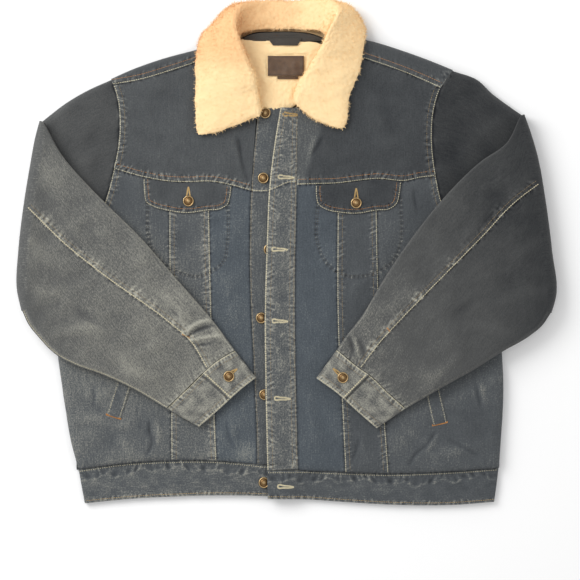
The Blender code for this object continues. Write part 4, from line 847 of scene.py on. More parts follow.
class Seam:
    """A line with rows of stitches on its lap side: 1 for its left, -1 for its right, 0 for both.

    Lift is the lap's height, pucker that of the ripples, which end at about the reach. Wear makes the
    ripples pale and also paints shade at the foot of the lap, spread adds pale patches beyond them, bead
    adds dimples along loose rows, painted dark as the shade in them, and shade is painted shade on the
    cloth that meets the lap, where the lap's edge shades it.
    """

    def __init__(self, line, lap, rows=(1.6, 8.0), lift=0.9, pucker=0.45, reach=7.0, wear=0.27,
                 spread=0.0, bead=0.0, shade=0.0):
        self.line, self.lap, self.rows = line, lap, rows
        self.lift, self.pucker, self.reach = lift, pucker, reach
        self.wear, self.spread, self.bead, self.shade = wear, spread, bead, shade
        self.seed = len(line.points) + line.points[0, 0] * 0.37

    def press(self, places):
        """Height, and colour from rubbing and painted shade, that the seam gives to points."""
        low, high = self.line.points.min(0) - 34.0, self.line.points.max(0) + 34.0
        close = np.all((places > low) & (places < high), axis=1)
        height, worn = np.zeros(len(places)), np.zeros(len(places))
        if not close.any():
            return height, worn
        signed, along, past = self.line.near(places[close])
        gap = np.abs(signed)
        on_lap = (signed * self.lap >= 0) if self.lap else np.ones(len(gap), bool)
        width = max(self.rows) + 1.5 if self.rows else 2.0
        whole = 1.0 - ease(past / 3.0)
        ripple = puckers(along, gap, self.seed)
        length = self.reach * (0.35 + drift(along, self.seed + 1.0, 6.1))
        core = np.where(on_lap, 1.0 - ease((gap - width) / length), 1.0 - ease(gap / length))
        rise = np.where(
            on_lap,
            self.lift * ((1.0 - ease((gap - width) / 3.0)) - 0.6 * (1.0 - ease(gap / 1.0))),
            -0.5 * self.lift * (1.0 - ease(gap / 4.0)))
        for row in self.rows:
            groove = np.exp(-((gap - row) / 1.5) ** 2) * on_lap
            rise = rise - (0.35 + 0.3 * self.pucker) * groove
        rise = rise + self.pucker * ripple * core
        mottle = crumple(places[close], int(abs(self.seed) * 10), 5.5, 0.5, 8)
        edge = np.where(on_lap, np.exp(-(gap / 1.6) ** 2), 0.0)
        # dark is painted shade: the cloth at the foot of the lap, where the lap's edge shades it
        dark = np.where(on_lap, 0.0, np.exp(-(gap / 2.0) ** 2))
        rubbed = core * np.clip(0.20 + 0.72 * ripple + 0.42 * mottle, -0.7, 1.0)
        patch = ease(2.4 * drift(along, self.seed + 3.0, 19.0) - 1.1)
        patch = patch * on_lap * (1.0 - ease(gap / 24.0)) * (0.6 + 0.9 * mottle)
        if self.bead:
            # loose rows pull the cloth into dimples, painted dark as the shade in them, with pale cloth
            # between them
            beat = np.sin(along * 2 * math.pi / BEAD_PITCH + 1.3 * np.sin(along / 13.0))
            inner = signed * self.lap - 2.2
            dimple = np.exp(-(inner / 2.4) ** 2) * ease(0.5 + 0.8 * beat)
            rise = rise - 0.7 * dimple
            worn[close] -= self.bead * dimple
            worn[close] += 0.4 * self.bead * np.exp(-(inner / 5.0) ** 2) * ease(0.5 - 0.8 * beat)
        height[close] = rise * whole
        worn[close] += (
            self.wear * (rubbed + 0.6 * edge - 0.9 * dark) - self.shade * dark
            + self.spread * patch) * whole
        return height, worn


FELLED = (1.6, 8.5)      # where the two rows of a felled seam run
WAIST_SEWN = (-1, (3.0,), 0.8, 0.45, 8.0, 0.20)
HEM_SEWN = (1, (4.0,), 0.3, 0.25, 4.0, 0.26)
BAG_SEWN = (1, (0.5, 3.8), 0.0, 0.45, 4.0, 0.10, 0.0, 0.22)
SEAMS = {
    "v1_R": Seam(V1_R, 1), "v2_R": Seam(V2_R, -1), "v1_L": Seam(V1_L, 1), "v2_L": Seam(V2_L, -1),
    "centre_R": Seam(C_R, 1, (1.8,), 0.4, 0.25, 5.0, 0.16, shade=0.14),
    "centre_L": Seam(C_L, -1, (1.8, 8.0), 0.6, 0.30, 5.0, 0.18, shade=0.16),
    "yoke_R": Seam(YOKE_R, 1, FELLED, 1.0, 0.50, 6.0, 0.42),
    "yoke_L": Seam(YOKE_L, 1, FELLED, 1.0, 0.50, 6.0, 0.36),
    "shoulder_R": Seam(SHOULDER_R, 1, FELLED, 0.9, 0.35, 6.0, 0.26),
    "shoulder_L": Seam(SHOULDER_L, 1, FELLED, 0.9, 0.35, 6.0, 0.24),
    "armhole_R": Seam(ARMHOLE_R, 1, FELLED, 1.0, 0.45, 7.0, 0.30),
    "armhole_L": Seam(ARMHOLE_L, -1, FELLED, 1.0, 0.45, 7.0, 0.26),
    "join": Seam(YOKE_JOIN, 1, (1.4,), 0.7, 0.35, 6.0, 0.30, shade=0.12),
    "waist_R": Seam(WAIST_R, *WAIST_SEWN), "waist_L": Seam(WAIST_L, *WAIST_SEWN),
    "hem_R": Seam(HEM_R, *HEM_SEWN), "hem_L": Seam(HEM_L, *HEM_SEWN),
    "pocket_R": Seam(POCKET_R, *BAG_SEWN), "pocket_L": Seam(POCKET_L, *BAG_SEWN),
    "placket": Seam(PLACKET_EDGE, 1, (1.6, 9.0), 0.6, 0.42, 7.0, 0.24),
    "yoke_back": Seam(YOKE_BACK, 1, FELLED, 0.0, 0.0, 8.0, 0.25),
    "waist_back": Seam(WAIST_BACK, -1, (1.6, 15.0), 0.0, 0.0, 8.0, 0.30),
}


def sewn(places, names):
    """Height, and colour from rubbing and painted shade, of some seams together."""
    height, worn = np.sum([SEAMS[name].press(places) for name in names], axis=0)
    return height, worn


print("seams", len(SEAMS))

# %% [markdown]
# ## A sheet of cloth
# Every piece of denim starts as a flat grid, the natural mesh of a woven cloth. A function of the pattern
# then says where each of its points lies. The grid is finer near its edges, so that they can turn down
# over the cloth's own thickness. Each sheet also keeps two things for its material: a UV map of the flat
# cloth in metres, and the fading and painted shade of each point.

# %% Sheets from rows of points
PITCH = 2.1              # usual distance between the points of a sheet
SHARP = 70               # degrees between faces from which an edge is sharp
ALLOWANCES = 24          # what two seam allowances add to a flat size
ALLOWANCE_AREA = 1.12    # and to its area, as a factor
RIMS = (np.s_[:1], np.s_[-1:], np.s_[:, :1], np.s_[:, -1:])
MADE = {}


def shares(length, pitch=PITCH, edge=(0.35, 0.9, 1.8)):
    """Shares of a length, closer together at both ends."""
    ends = np.array([0.0, *edge]) / length
    count = max(2, round((length - 2 * edge[-1]) / pitch))
    middle = np.linspace(ends[-1], 1.0 - ends[-1], count + 1)
    return np.concatenate([ends[:-1], middle, 1.0 - ends[:-1][::-1]])


def keep(mesh, key, values):
    """Stores one value for each point of a mesh."""
    mesh.attributes.new(key, "FLOAT", "POINT").data.foreach_set("value", values)


def stand_in(node, made, slot, **sheet):
    """Says which solid a piece stands for, hides the solid and attaches the piece to the root body. The
    flat cloth it is given is not used.
    """
    MADE[node] = made
    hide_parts(node)
    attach(made, "root")
    return made


def cloth(name, spots, flat, fade_and_shade, finish, turned=False):
    """A sheet from rows of places in mm, their places in the flat cloth, and their fading and painted
    shade.
    """
    rows, columns = spots.shape[:2]
    bm = bmesh.new()
    bmesh.ops.create_grid(bm, x_segments=columns - 1, y_segments=rows - 1, size=1.0)
    if turned:
        bmesh.ops.reverse_faces(bm, faces=bm.faces)
    mesh = mesh_of(name, bm)
    at = np.empty(rows * columns * 3)
    mesh.vertices.foreach_get("co", at)
    at = (at.reshape(-1, 3) + 1.0) / 2.0
    i = np.rint(at[:, 0] * (columns - 1)).astype(int)
    j = np.rint(at[:, 1] * (rows - 1)).astype(int)
    where = spots[j, i] + np.array([*SHIFT, 0.0])
    mesh.vertices.foreach_set("co", (where * MM).ravel())
    keep(mesh, "fade_and_shade", fade_and_shade[j, i])
    corners = np.empty(len(mesh.loops), int)
    mesh.loops.foreach_get("vertex_index", corners)
    mesh.uv_layers.new(name="cloth").uv.foreach_set("vector", (flat[j, i][corners] * MM).ravel())
    mesh.shade_smooth()
    mesh.set_sharp_from_angle(angle=math.radians(SHARP))
    mesh.materials.append(finish)
    mesh.update()
    return placed(f"{name}_cloth", mesh)


def area_of(plan):
    """The flat area in square mm of a grid of places."""
    one, two = plan[1:, 1:] - plan[:-1, :-1], plan[1:, :-1] - plan[:-1, 1:]
    return float(np.abs(one[..., 0] * two[..., 1] - one[..., 1] * two[..., 0]).sum() / 2.0)


def between(line, a, b, axis):
    """A line read by shares between two of its places."""
    def at(share):
        value = a[axis] + (b[axis] - a[axis]) * share
        other = line.read(value, axis)
        return np.stack((value, other) if axis == 0 else (other, value), axis=-1)
    return at


def straight(a, b):
    def at(share):
        return a + (b - a) * np.asarray(share)[..., None]
    return at


def patch(bottom, top, left, right, across, up):
    """Plan places between four edges, for every share across and up: a Coons patch."""
    u, v = across[None, :, None], up[:, None, None]
    ruled = bottom(across)[None] * (1 - v) + top(across)[None] * v
    ruled = ruled + left(up)[:, None] * (1 - u) + right(up)[:, None] * u
    ends = np.array([0.0, 1.0])
    low, high = bottom(ends), top(ends)
    return ruled - (low[0] * (1 - u) + low[1] * u) * (1 - v) - (high[0] * (1 - u) + high[1] * u) * v


def cornered(corners, bottom, top, left, right, across, up):
    """A patch with corners at left and right, low then high. An edge without a line is straight."""
    lb, rb, lt, rt = corners

    def edge(line, a, b, axis):
        return between(line, a, b, axis) if line else straight(a, b)

    return patch(
        edge(bottom, lb, rb, 0), edge(top, lt, rt, 0), edge(left, lb, lt, 1),
        edge(right, rb, rt, 1), across, up)


def rimmed(grid):
    """A grid with its outer rows and columns doubled."""
    return np.pad(grid, [(1, 1), (1, 1), (0, 0)][:grid.ndim], mode="edge")


def sheet_of(name, plan, z, edge, fade_and_shade, finish, flat=None, turn=0.9, rests=("back_panel",)):
    """A panel of denim over its plan, with a skirt to the height edge.

    A panel that faces up rounds over by turn at its edges. With no turn it faces the table.
    """
    if turn:
        gap = np.min([norm(plan - plan[rim], axis=-1) for rim in RIMS], axis=0)
        z = z - turn * rounding(gap, turn * 1.6)
    spots, edge = rimmed(np.concatenate([plan, z[..., None]], axis=-1)), rimmed(edge)
    for rim in RIMS:
        reach = np.minimum if turn else np.maximum
        spots[rim][..., 2] = reach(spots[rim][..., 2], edge[rim])
    flat = plan if flat is None else flat
    size = np.ptp(flat.reshape(-1, 2), axis=0) + ALLOWANCES
    made = cloth(name, spots, rimmed(flat), rimmed(fade_and_shade), finish, turned=not turn)
    return stand_in(
        name, made, "denim_body", flat=(float(size[0]) * MM, float(size[1]) * MM), held="laid",
        rests_on=list(rests), area=area_of(flat) * ALLOWANCE_AREA * MM * MM)


# %% [markdown]
# ## The two fronts
# Each front is a side, a middle and a centre panel below a yoke. On the jacket they are separate
# cuts, joined by double-stitched seams, so each is its own sheet. All sheets of the body read one
# surface, so they meet at their seams. Next to a seam that surface holds the seam's own relief, and
# elsewhere the crumples, the worn-in folds and the creases.

# %% The outside of the fronts
BODY_SEAMS = {
    side: [name + side for name in ("v1_", "v2_", "centre_", "yoke_", "armhole_", "waist_", "pocket_")]
    for side in ("R", "L")
}
YOKE_SEAMS = {side: ["yoke_" + side, "shoulder_" + side, "armhole_" + side] for side in ("R", "L")}
WELTS = {"R": ((-228, -128), (-268, -256)), "L": ((208, -134), (238, -267))}
WELT_HALF = 11.0


def under_trims(places):
    """1 under a flap, a welt or the collar, fading to 0 beside them."""
    x, y = places.T
    across = np.minimum(np.abs(x + 153), np.abs(x - 111))
    flap = (1.0 - ease((across - 66) / 12.0)) * (1.0 - ease((np.abs(y - 82) - 24) / 12.0))
    cover = flap
    for start, end in WELTS.values():
        gap = np.abs(Line([start, end]).near(places)[0])
        cover = np.maximum(cover, 1.0 - ease((gap - WELT_HALF) / 10.0))
    collar = np.where(x < 0, 1.0 - ease((-146 - x) / 10.0), 1.0 - ease((x - 118) / 10.0))
    return np.maximum(cover, collar * (1.0 - ease((182 - y) / 12.0)))


def front_cloth(places, seams):
    """Height, and colour from rubbing, fading and painted shade, of the fronts' outside at plan places.
    """
    x = places[:, 0]
    centre = np.where(x < 0, 1.0 - ease((x + 80) / 40.0), ease((x - 12) / 25.0))
    free = (1.0 - under_sleeve(places)) * (1.0 - under_trims(places)) * (0.25 + 0.75 * centre)
    soft = crumple(places, 11, 62, 0.50) + crumple(places, 12, 26, 0.22)
    worn_in = folds(places, 21, 34, 0.5)
    crease, rubbed_lit_and_shaded = creases(places, CREASES_BODY)
    rise, worn = sewn(places, seams)
    height = front_top(places) + (soft + worn_in + crease) * free + rise
    # creases colour the cloth paler on ridges, partly rubbing and partly painted light, and darker in
    # troughs as painted shade
    worn = worn + free * (0.05 * worn_in + 0.08 * rubbed_lit_and_shaded + 0.03 * soft)
    worn = worn + tone_spots(places, TONE_SPOTS_BODY)
    return height, worn


def read_grid(function, plan, *more):
    """A function of flat lists of places, read over a grid."""
    answer = function(plan.reshape(-1, 2), *more)
    if isinstance(answer, tuple):
        return tuple(part.reshape(plan.shape[:2]) for part in answer)
    return answer.reshape(plan.shape[:2])


NEAR_YOKE, NEAR_WAIST, NEAR_HEM = 105.0, -330.0, -385.0    # about where these lines run


def crossed(left, right, bottom, top, low, high):
    """The four places where two lines down the body meet two across it, near two heights."""
    return [crossing(down, across, y) for across, y in ((bottom, low), (top, high))
            for down in (left, right)]


def lines_patch(left, right, bottom, top, pitch=PITCH):
    """The plan grid between two lines down the body and two across it."""
    lb, rb, lt, rt = corners = crossed(left, right, bottom, top, NEAR_WAIST, NEAR_YOKE)
    across = shares(norm((rb + rt - lb - lt) / 2), pitch)
    up = shares(norm((lt + rt - lb - rb) / 2), pitch)
    return cornered(corners, bottom, top, left, right, across, up)


LEAST_WALL = 1.4         # the least thickness of a front
PANELS = {
    "front_side_R": (EDGE_R, V1_R, WAIST_R, YOKE_R, 0.555),
    "front_middle_R": (V1_R, V2_R, WAIST_R, YOKE_R, 0.52),
    "front_center_R": (V2_R, C_R, WAIST_R, YOKE_R, 0.46),
    "front_center_L": (C_L, V1_L, WAIST_L, YOKE_L, 0.42),
    "front_middle_L": (V1_L, V2_L, WAIST_L, YOKE_L, 0.385),
    "front_side_L": (V2_L, EDGE_L, WAIST_L, YOKE_L, 0.455),
}
for name, (left, right, bottom, top, base) in PANELS.items():
    plan = lines_patch(left, right, bottom, top)
    height, worn = read_grid(front_cloth, plan, BODY_SEAMS[name[-1]])
    low = read_grid(front_low, plan)
    shade = base + 0.012 * np.clip((-60 - plan[..., 1]) / 200.0, -0.6, 1.0)
    sheet_of(name, plan, np.maximum(height, low + LEAST_WALL), low, shade + worn,
             DENIM["front" if "center" in name else "side"])
print("panels", {name: len(made.data.polygons) for name, made in MADE.items()})


# %% The two front yokes
def yoke_plan(side):
    """The yoke's grid: its top edge follows the shoulder seam and then the round of the neck."""
    right = side == "R"
    outer, centre, yoke, seam, neck = (
        (EDGE_R, C_R, YOKE_R, SHOULDER_R, NECK_R) if right
        else (EDGE_L, C_L, YOKE_L, SHOULDER_L, NECK_L))
    corner = neck.at(0.0 if right else 1.0)
    end = crossing(outer, seam, 258.0 if right else 252.0)
    low_out, low_in = crossing(outer, yoke, NEAR_YOKE), crossing(centre, yoke, NEAR_YOKE)
    shoulder = between(seam, end, corner, 0)
    turn = 11 / 15

    def high(share):
        # from the armhole: along the shoulder, then down the round of the neck
        flat = shoulder(np.clip(share / turn, 0.0, 1.0))
        down = np.clip((share - turn) / (1.0 - turn), 0.0, 1.0)
        curve = neck.at(down if right else 1.0 - down)
        return np.where((share < turn)[..., None], flat, curve)

    inner = high(np.array([1.0]))[0]
    grid = patch(
        between(yoke, low_out, low_in, 0), high, between(outer, low_out, end, 1),
        straight(low_in, inner) if right else between(centre, low_in, inner, 1),
        shares(250.0), shares(150.0))
    return grid if right else grid[:, ::-1]


for side, base in (("R", 0.385), ("L", 0.25)):
    plan = yoke_plan(side)
    height, worn = read_grid(front_cloth, plan, YOKE_SEAMS[side])
    low = read_grid(front_low, plan)
    if side == "L":
        # beside the placket the yoke is rubbed as pale as the placket itself
        rim = 27.0 + 0.325 * (plan[..., 1] - 108.0)
        worn = worn + 0.24 * ease((rim - plan[..., 0]) / 12.0 + 0.5)
    sheet_of(f"front_yoke_{side}", plan, np.maximum(height, low + LEAST_WALL), low, base + worn,
             DENIM["yoke"])
print("yokes", [len(MADE[f"front_yoke_{side}"].data.polygons) for side in "RL"])

# %% [markdown]
# ## Button stand, placket and waistband
# The right front ends in a button stand. The left front's placket lies over it, a button's
# height above. The placket is a folded double strip, so it is thicker and stiffer than the panels,
# and its two rows of stitches draw the strongest puckers of the whole front. The waistband is the
# same kind of strip, turned sideways: its warp runs along the hem.

# %% Stand and placket
def stand_cloth(places):
    rise, worn = sewn(places, ["centre_R", "join"])
    soft = crumple(places, 31, 30, 0.25)
    return stand_top(places) + rise + soft, worn + 0.05 * soft


def placket_cloth(places):
    rise, worn = sewn(places, ["placket", "centre_L", "join"])
    soft = crumple(places, 33, 24, 0.22)
    crackle = folds(places, 37, 10.0, 0.65, 0.24) + folds(places, 39, 6.5, 0.45, 0.26)
    z = placket_low(places) + PLACKET_WALL + rise + soft + crackle
    return z, worn + 0.06 * soft + 0.34 * crackle - 0.03


def strip_plan(left, right, low, high, pitch=1.6):
    """The plan grid between two lines down the body, cut off straight at two heights."""
    corners = [np.array([line.x(y), y]) for y in (low, high) for line in (left, right)]
    across = shares(norm(corners[1] - corners[0]), pitch)
    return cornered(corners, None, None, left, right, across, shares(high - low, pitch))


plan = strip_plan(C_R, STAND_EDGE, -331.5, 223.5)
height, worn = read_grid(stand_cloth, plan)
sheet_of("button_stand", plan, height, height - STAND_WALL, 0.495 + worn, DENIM["side"])
plan = strip_plan(PLACKET_EDGE, C_L, -339.3, 223.0)
height, worn = read_grid(placket_cloth, plan)
sheet_of("placket", plan, height, read_grid(placket_low, plan), 0.56 + worn, DENIM["side"],
         turn=1.3, rests=("button_stand",))
print("stand and placket", [len(MADE[key].data.polygons) for key in ("button_stand", "placket")])


# %% The waistband
def band_cloth(places, side):
    rise, worn = sewn(places, [f"waist_{side}", f"hem_{side}"])
    signed, along, _ = SEAMS[f"waist_{side}"].line.near(places)
    # the band is gathered to the body, so its upper third buckles below the seam
    crest = 15.0 + 2.6 * np.sin(along / 9.3) + 1.9 * np.sin(along / 4.7 + 1.0)
    crest = crest + 2.5 * np.sin(along / 31.0)
    below = -signed - crest
    ridge = np.exp(-(below / 1.7) ** 2) * (0.25 + 0.9 * drift(along, 2.0, 14.0))
    buckle = puckers(along, below, 5.0, 13.0) * ease(below / 9.0 + 1.4) * ease(0.6 - below / 5.0)
    hollow = (1.0 - ease(below / 4.0 + 0.8)) * 0.6
    soft = crumple(places, 35, 34, 0.25)
    z = BAND_TOP - band_edge(places, 5.0) + rise + soft + 1.0 * ridge + 1.1 * buckle - hollow
    if side == "L":
        z = z + lap_rise(places)
    mottle = crumple(places, 36, 17, 0.02) - 0.05 * ease((places[:, 0] - 150) / 150.0)
    # the crest is rubbed pale; the buckles are painted light on their tops and shade between them, and
    # the hollow below the crest is painted shade
    return z, worn + 0.04 * soft + 0.17 * ridge + 0.20 * buckle - 0.09 * hollow + mottle


def band_plan(left, right, waist, hem, pitch=1.7, tall=None):
    """The plan grid of a waistband between two straight ends."""
    lb, rb, lt, rt = corners = crossed(left, right, hem, waist, NEAR_HEM, NEAR_HEM + 45.0)
    return cornered(
        corners, hem, waist, None, None, shares(rb[0] - lb[0], pitch),
        shares(tall or float(lt[1] - lb[1]), pitch))


for side, left, right, waist, hem, base in (
        ("R", BAND_SIDE_R, STAND_EDGE, WAIST_R, HEM_R, 0.51),
        ("L", PLACKET_EDGE, BAND_SIDE_L, WAIST_L, HEM_L, 0.455)):
    plan = band_plan(left, right, waist, hem)
    height, worn = read_grid(band_cloth, plan, side)
    low = np.full(height.shape, BAND_LOW)
    if side == "L":
        low = low + read_grid(lap_rise, plan)
    sheet_of(f"waistband_front_{side}", plan, height, low, base + worn, DENIM["side"],
             plan[..., ::-1], 1.2, ("waistband_back",))
print("strips done,", len(MADE), "sheets so far")

# %% [markdown]
# ## The back
# The back lies underneath. Its outside faces the table, so it is a sheet that faces down, flat
# where it rests and curved up at the sides. The back yoke passes under the neck and turns over each
# shoulder to the front seam, which is why the shoulder seam of such a jacket sits in front.

# %% Back panel and back waistband
BACK_WALL = 0.8          # least thickness of the back at its edges


def back_top(places):
    sink = 1.0 - ease((places[:, 1] - WAIST_BACK.y(places[:, 0]) - 9.0) / BLOUSE)
    return BACK_TOP + lift_at_neck(places) - (BACK_TOP - BAND_BACK_TOP) * sink


def back_low(places):
    low = lift_at_neck(places)
    edge = np.where(places[:, 1] < UNDERARM, rounding(side_gap(places), 9.0), 0.0)
    return low + (back_top(places) - 1.2) * edge


def hollows(places, seams):
    """How far the underside stands off the table: at seams and in a few soft hollows."""
    rise, worn = sewn(places, seams)
    soft = crumple(places, 41, 90, 0.9) - 0.5
    return np.clip(soft, 0.0, 1.5) + np.clip(-rise, 0.0, 1.0), worn


plan = lines_patch(EDGE_R, EDGE_L, WAIST_BACK, YOKE_BACK, 4.0)
hollow, worn = read_grid(hollows, plan, ["yoke_back", "waist_back"])
top = read_grid(back_top, plan)
low = np.minimum(read_grid(back_low, plan) + hollow, top - BACK_WALL)
sheet_of("back_panel", plan, low, top, 0.42 + worn, DENIM["front"], turn=0, rests=("floor",))

plan = band_plan(BAND_SIDE_R, BAND_SIDE_L, WAIST_BACK, HEM_BACK, 3.0, 50.0)
hollow, worn = read_grid(hollows, plan, ["waist_back"])
low = np.minimum(read_grid(band_edge, plan, 4.5) + hollow * 0.6, BAND_BACK_TOP - BACK_WALL)
sheet_of("waistband_back", plan, low, np.full(low.shape, BAND_BACK_TOP), 0.40 + worn,
         DENIM["front"], plan[..., ::-1], 0, ("floor",))
print("back", len(MADE["back_panel"].data.polygons))


# %% The back yoke, turned over the shoulders
RIDGE_ROUND = 9.5        # radius of the yoke's turn over the shoulder


def yoke_column(x_of, ridge, seam, first):
    """One line of the yoke: under the back, round the shoulder's ridge, and to the front seam."""
    top = ridge - RIDGE_ROUND
    under = np.linspace(0.0, 1.0, 34)[:-1]
    angles = np.radians(np.linspace(-90, 90, 13))
    over = np.linspace(0.0, 1.0, 10)[1:]
    y = np.concatenate([
        first + (top - first) * under, top + RIDGE_ROUND * np.cos(angles), top + (seam - top) * over])
    z = np.concatenate([
        np.zeros(len(under)), RIDGE_ROUND + RIDGE_ROUND * np.sin(angles),
        np.full(len(over), FRONT_TOP)])
    x = x_of(y)
    lift = lift_at_neck(np.stack([x, np.minimum(y, top)], axis=1))
    return np.stack([x, y, z + lift], axis=1), run_of(np.hypot(np.diff(y), np.diff(z)))


yoke_parts, flats_made = [], []
for side, inner, armhole, ridge_line, seam_line in (
        ("R", -101.0, ARMHOLE_R, RIDGE_R, SHOULDER_R), ("L", 83.0, ARMHOLE_L, RIDGE_L, SHOULDER_L)):
    columns = []
    for t in shares(150.0, 3.0):
        def x_of(y, t=t):
            return inner + (armhole.x(y) - inner) * t
        ridge, seam = 280.0, 270.0
        for _ in range(6):
            ridge = float(ridge_line.y(x_of(ridge)))
            seam = float(seam_line.y(x_of(seam)))
        columns.append(yoke_column(x_of, ridge, seam, float(YOKE_BACK.y(x_of(160.0)))))
    spots = np.array([column[0] for column in columns]).transpose(1, 0, 2)
    flat = np.stack([spots[..., 0], np.array([column[1] for column in columns]).T], axis=-1)
    rise, worn = read_grid(sewn, spots[..., :2], [f"shoulder_{side}", f"armhole_{side}", "yoke_back"])
    soft = read_grid(crumple, spots[..., :2], 43, 40, 0.3)
    over = np.linspace(0, 1, len(spots))[:, None] > 0.80
    spots[..., 2] += np.where(over, rise + 0.5 * soft, np.clip(-rise, 0.0, 1.0))
    yoke_parts.append(
        cloth(f"back_yoke_{side}", spots, flat, 0.33 + worn, DENIM["yoke"], turned=side == "L"))
    flats_made.append(flat)

neck_x = np.linspace(-101.0, 83.0, 60)
up = np.linspace(0.0, 1.0, 40)
start, stop = YOKE_BACK.y(neck_x), NECK_BACK.y(neck_x)
plan = np.stack(np.broadcast_arrays(neck_x[None], start + (stop - start) * up[:, None]), axis=-1)
rise, worn = read_grid(sewn, plan, ["yoke_back"])
low = read_grid(lift_at_neck, plan) + np.clip(-rise, 0.0, 1.0)
spots = np.concatenate([plan, low[..., None]], axis=-1)
spots = np.concatenate([spots, spots[-1:] + [0.0, 0.0, BACK_TOP]])
flat = np.concatenate([plan, plan[-1:] + [0.0, BACK_TOP]])
fade_and_shade = 0.33 + np.pad(worn, ((0, 1), (0, 0)), mode="edge")
yoke_parts.append(cloth("back_yoke_N", spots, flat, fade_and_shade, DENIM["yoke"], turned=True))
flats_made.append(flat)


def joined(name, parts):
    """Several sheets as one piece, with the points that meet merged."""
    bm = bmesh.new()
    for part in parts:
        bm.from_mesh(part.data)
    bmesh.ops.remove_doubles(bm, verts=bm.verts, dist=0.00002)
    mesh = parts[0].data
    bm.to_mesh(mesh)
    bm.free()
    for part in parts:
        bpy.data.objects.remove(part)
    return placed(f"{name}_cloth", mesh)


total = sum(map(area_of, flats_made))
stand_in(
    "back_yoke", joined("back_yoke", yoke_parts), "denim_body", flat=(0.56, 0.27), held="folded",
    rests_on=["floor"], area=total * 1.06 * MM * MM)
print("back yoke", round(total * 1e-6, 3), "square metres")

# %% [markdown]
# ## The sleeves
# A sleeve is a tube of two cuts, a wide top one and a narrow under one. Here the tube is pressed
# flat and folded over at the elbow. It is built like a skinned tube: sections stand across it from
# the armhole, round the fold and down to the cuff. Each section holds points for the layer that is
# the garment's front and for the one that is its back. After the fold, the back is on top, so the
# long seam between the two cuts shows there.

# %% Sections of a folded sleeve
def edge_round(v, width, half):
    gap = np.minimum(v, 1.0 - v) * width
    return np.sqrt(np.clip(1.0 - (1.0 - np.clip(gap / half, 0.0, 1.0)) ** 2, 0.0, 1.0))


def sleeve_blend(a, v, start, end, upper, lower):
    ends = np.array([0.0, 1.0])
    first, last = start(ends), end(ends)
    v1 = v[:, None]
    ruled = start(v) * (1 - a) + end(v) * a + upper.at(a) * (1 - v1) + lower.at(a) * v1
    return ruled - (first[0] * (1 - a) + last[0] * a) * (1 - v1) - (
        first[1] * (1 - a) + last[1] * a) * v1


def width_of(plan):
    return norm(plan(np.array([1.0])) - plan(np.array([0.0])))


def turn_at(part, v):
    near = np.minimum(v, 1.0 - v) * part["fold"].length / 34.0
    return TURN * (TURN_END + (1.0 - TURN_END) * ease(near))


def fold_line(part):
    def at(v):
        v = np.asarray(v, float)
        inward = turn_at(part, v) + ARM_HALF[1] * edge_round(v, part["fold"].length, ARM_HALF[1])
        return part["fold"].at(v) - part["out"] * inward[:, None]
    return at


def armhole_line(part):
    def at(v):
        hole = part["armhole"].at(v)
        toward = part["fold"].at(v) - hole
        return hole + toward / norm(toward, axis=-1)[:, None] * 0.5
    return at


ARM_ROWS, TURN_ROWS, FORE_ROWS = 46, 14, 184
ARM, BEND, FORE = 1, 0, 2


def sections(part):
    """Each section's plan, middle height, half height, turn, region and place along its region."""
    fold, hole = fold_line(part), armhole_line(part)
    made = []
    for a in np.linspace(0.0, 1.0, ARM_ROWS):
        half = ARM_HALF[0] + (ARM_HALF[1] - ARM_HALF[0]) * a

        def plan(v, a=a):
            return sleeve_blend(a, v, hole, fold, part["arm_upper"], part["arm_lower"])
        made.append((plan, half, half, 0.0, ARM, a))
    for turn in np.linspace(0.0, math.pi, TURN_ROWS)[1:-1]:
        z = ARM_HALF[1] + TURN * (1 - math.cos(turn))
        made.append((fold, z, ARM_HALF[1], turn, BEND, turn))
    for b in np.linspace(0.0, 0.999, FORE_ROWS):
        half = ARM_HALF[1] + (FORE_END - ARM_HALF[1]) * ease((b - 0.72) / 0.28)

        def plan(v, b=b):
            return sleeve_blend(
                b, v, fold, part["cuff_seam"].at, part["fore_upper"], part["fore_lower"])
        made.append((plan, FORE_LOW + half, half, math.pi, FORE, b))
    return made


def layer_shares(width, half, first, last, count):
    """Shares across one layer, closer together at a folded edge."""
    near = np.array([0.0, 0.04, 0.15, 0.35, 0.65, 1.0, 1.5, 2.2, 3.0]) * half / width
    head = near[:-1] if first == 0.0 else []
    tail = (1.0 - near[:-1])[::-1] if last == 1.0 else []
    start = near[-1] if first == 0.0 else first
    stop = 1.0 - near[-1] if last == 1.0 else last
    return np.concatenate([head, np.linspace(start, stop, count), tail])


def seam_share(part, plan):
    tries = np.linspace(0.2, 0.75, 111)
    return float(tries[np.argmin(np.abs(part["seam"].near(plan(tries))[0]))])


# %% The seams of the sleeves and their relief
for side, part in SLEEVES.items():
    lap = 1 if side == "R" else -1
    SEAMS[f"sleeve_{side}"] = Seam(
        part["seam"], lap, (1.4, 7.5), 0.9, 0.45, 9.0, 0.16, 0.30, shade=0.18)
    SEAMS[f"cuff_seam_{side}"] = Seam(part["cuff_seam"], 0, (), 0.0, 0.6, 15.0, 0.20)


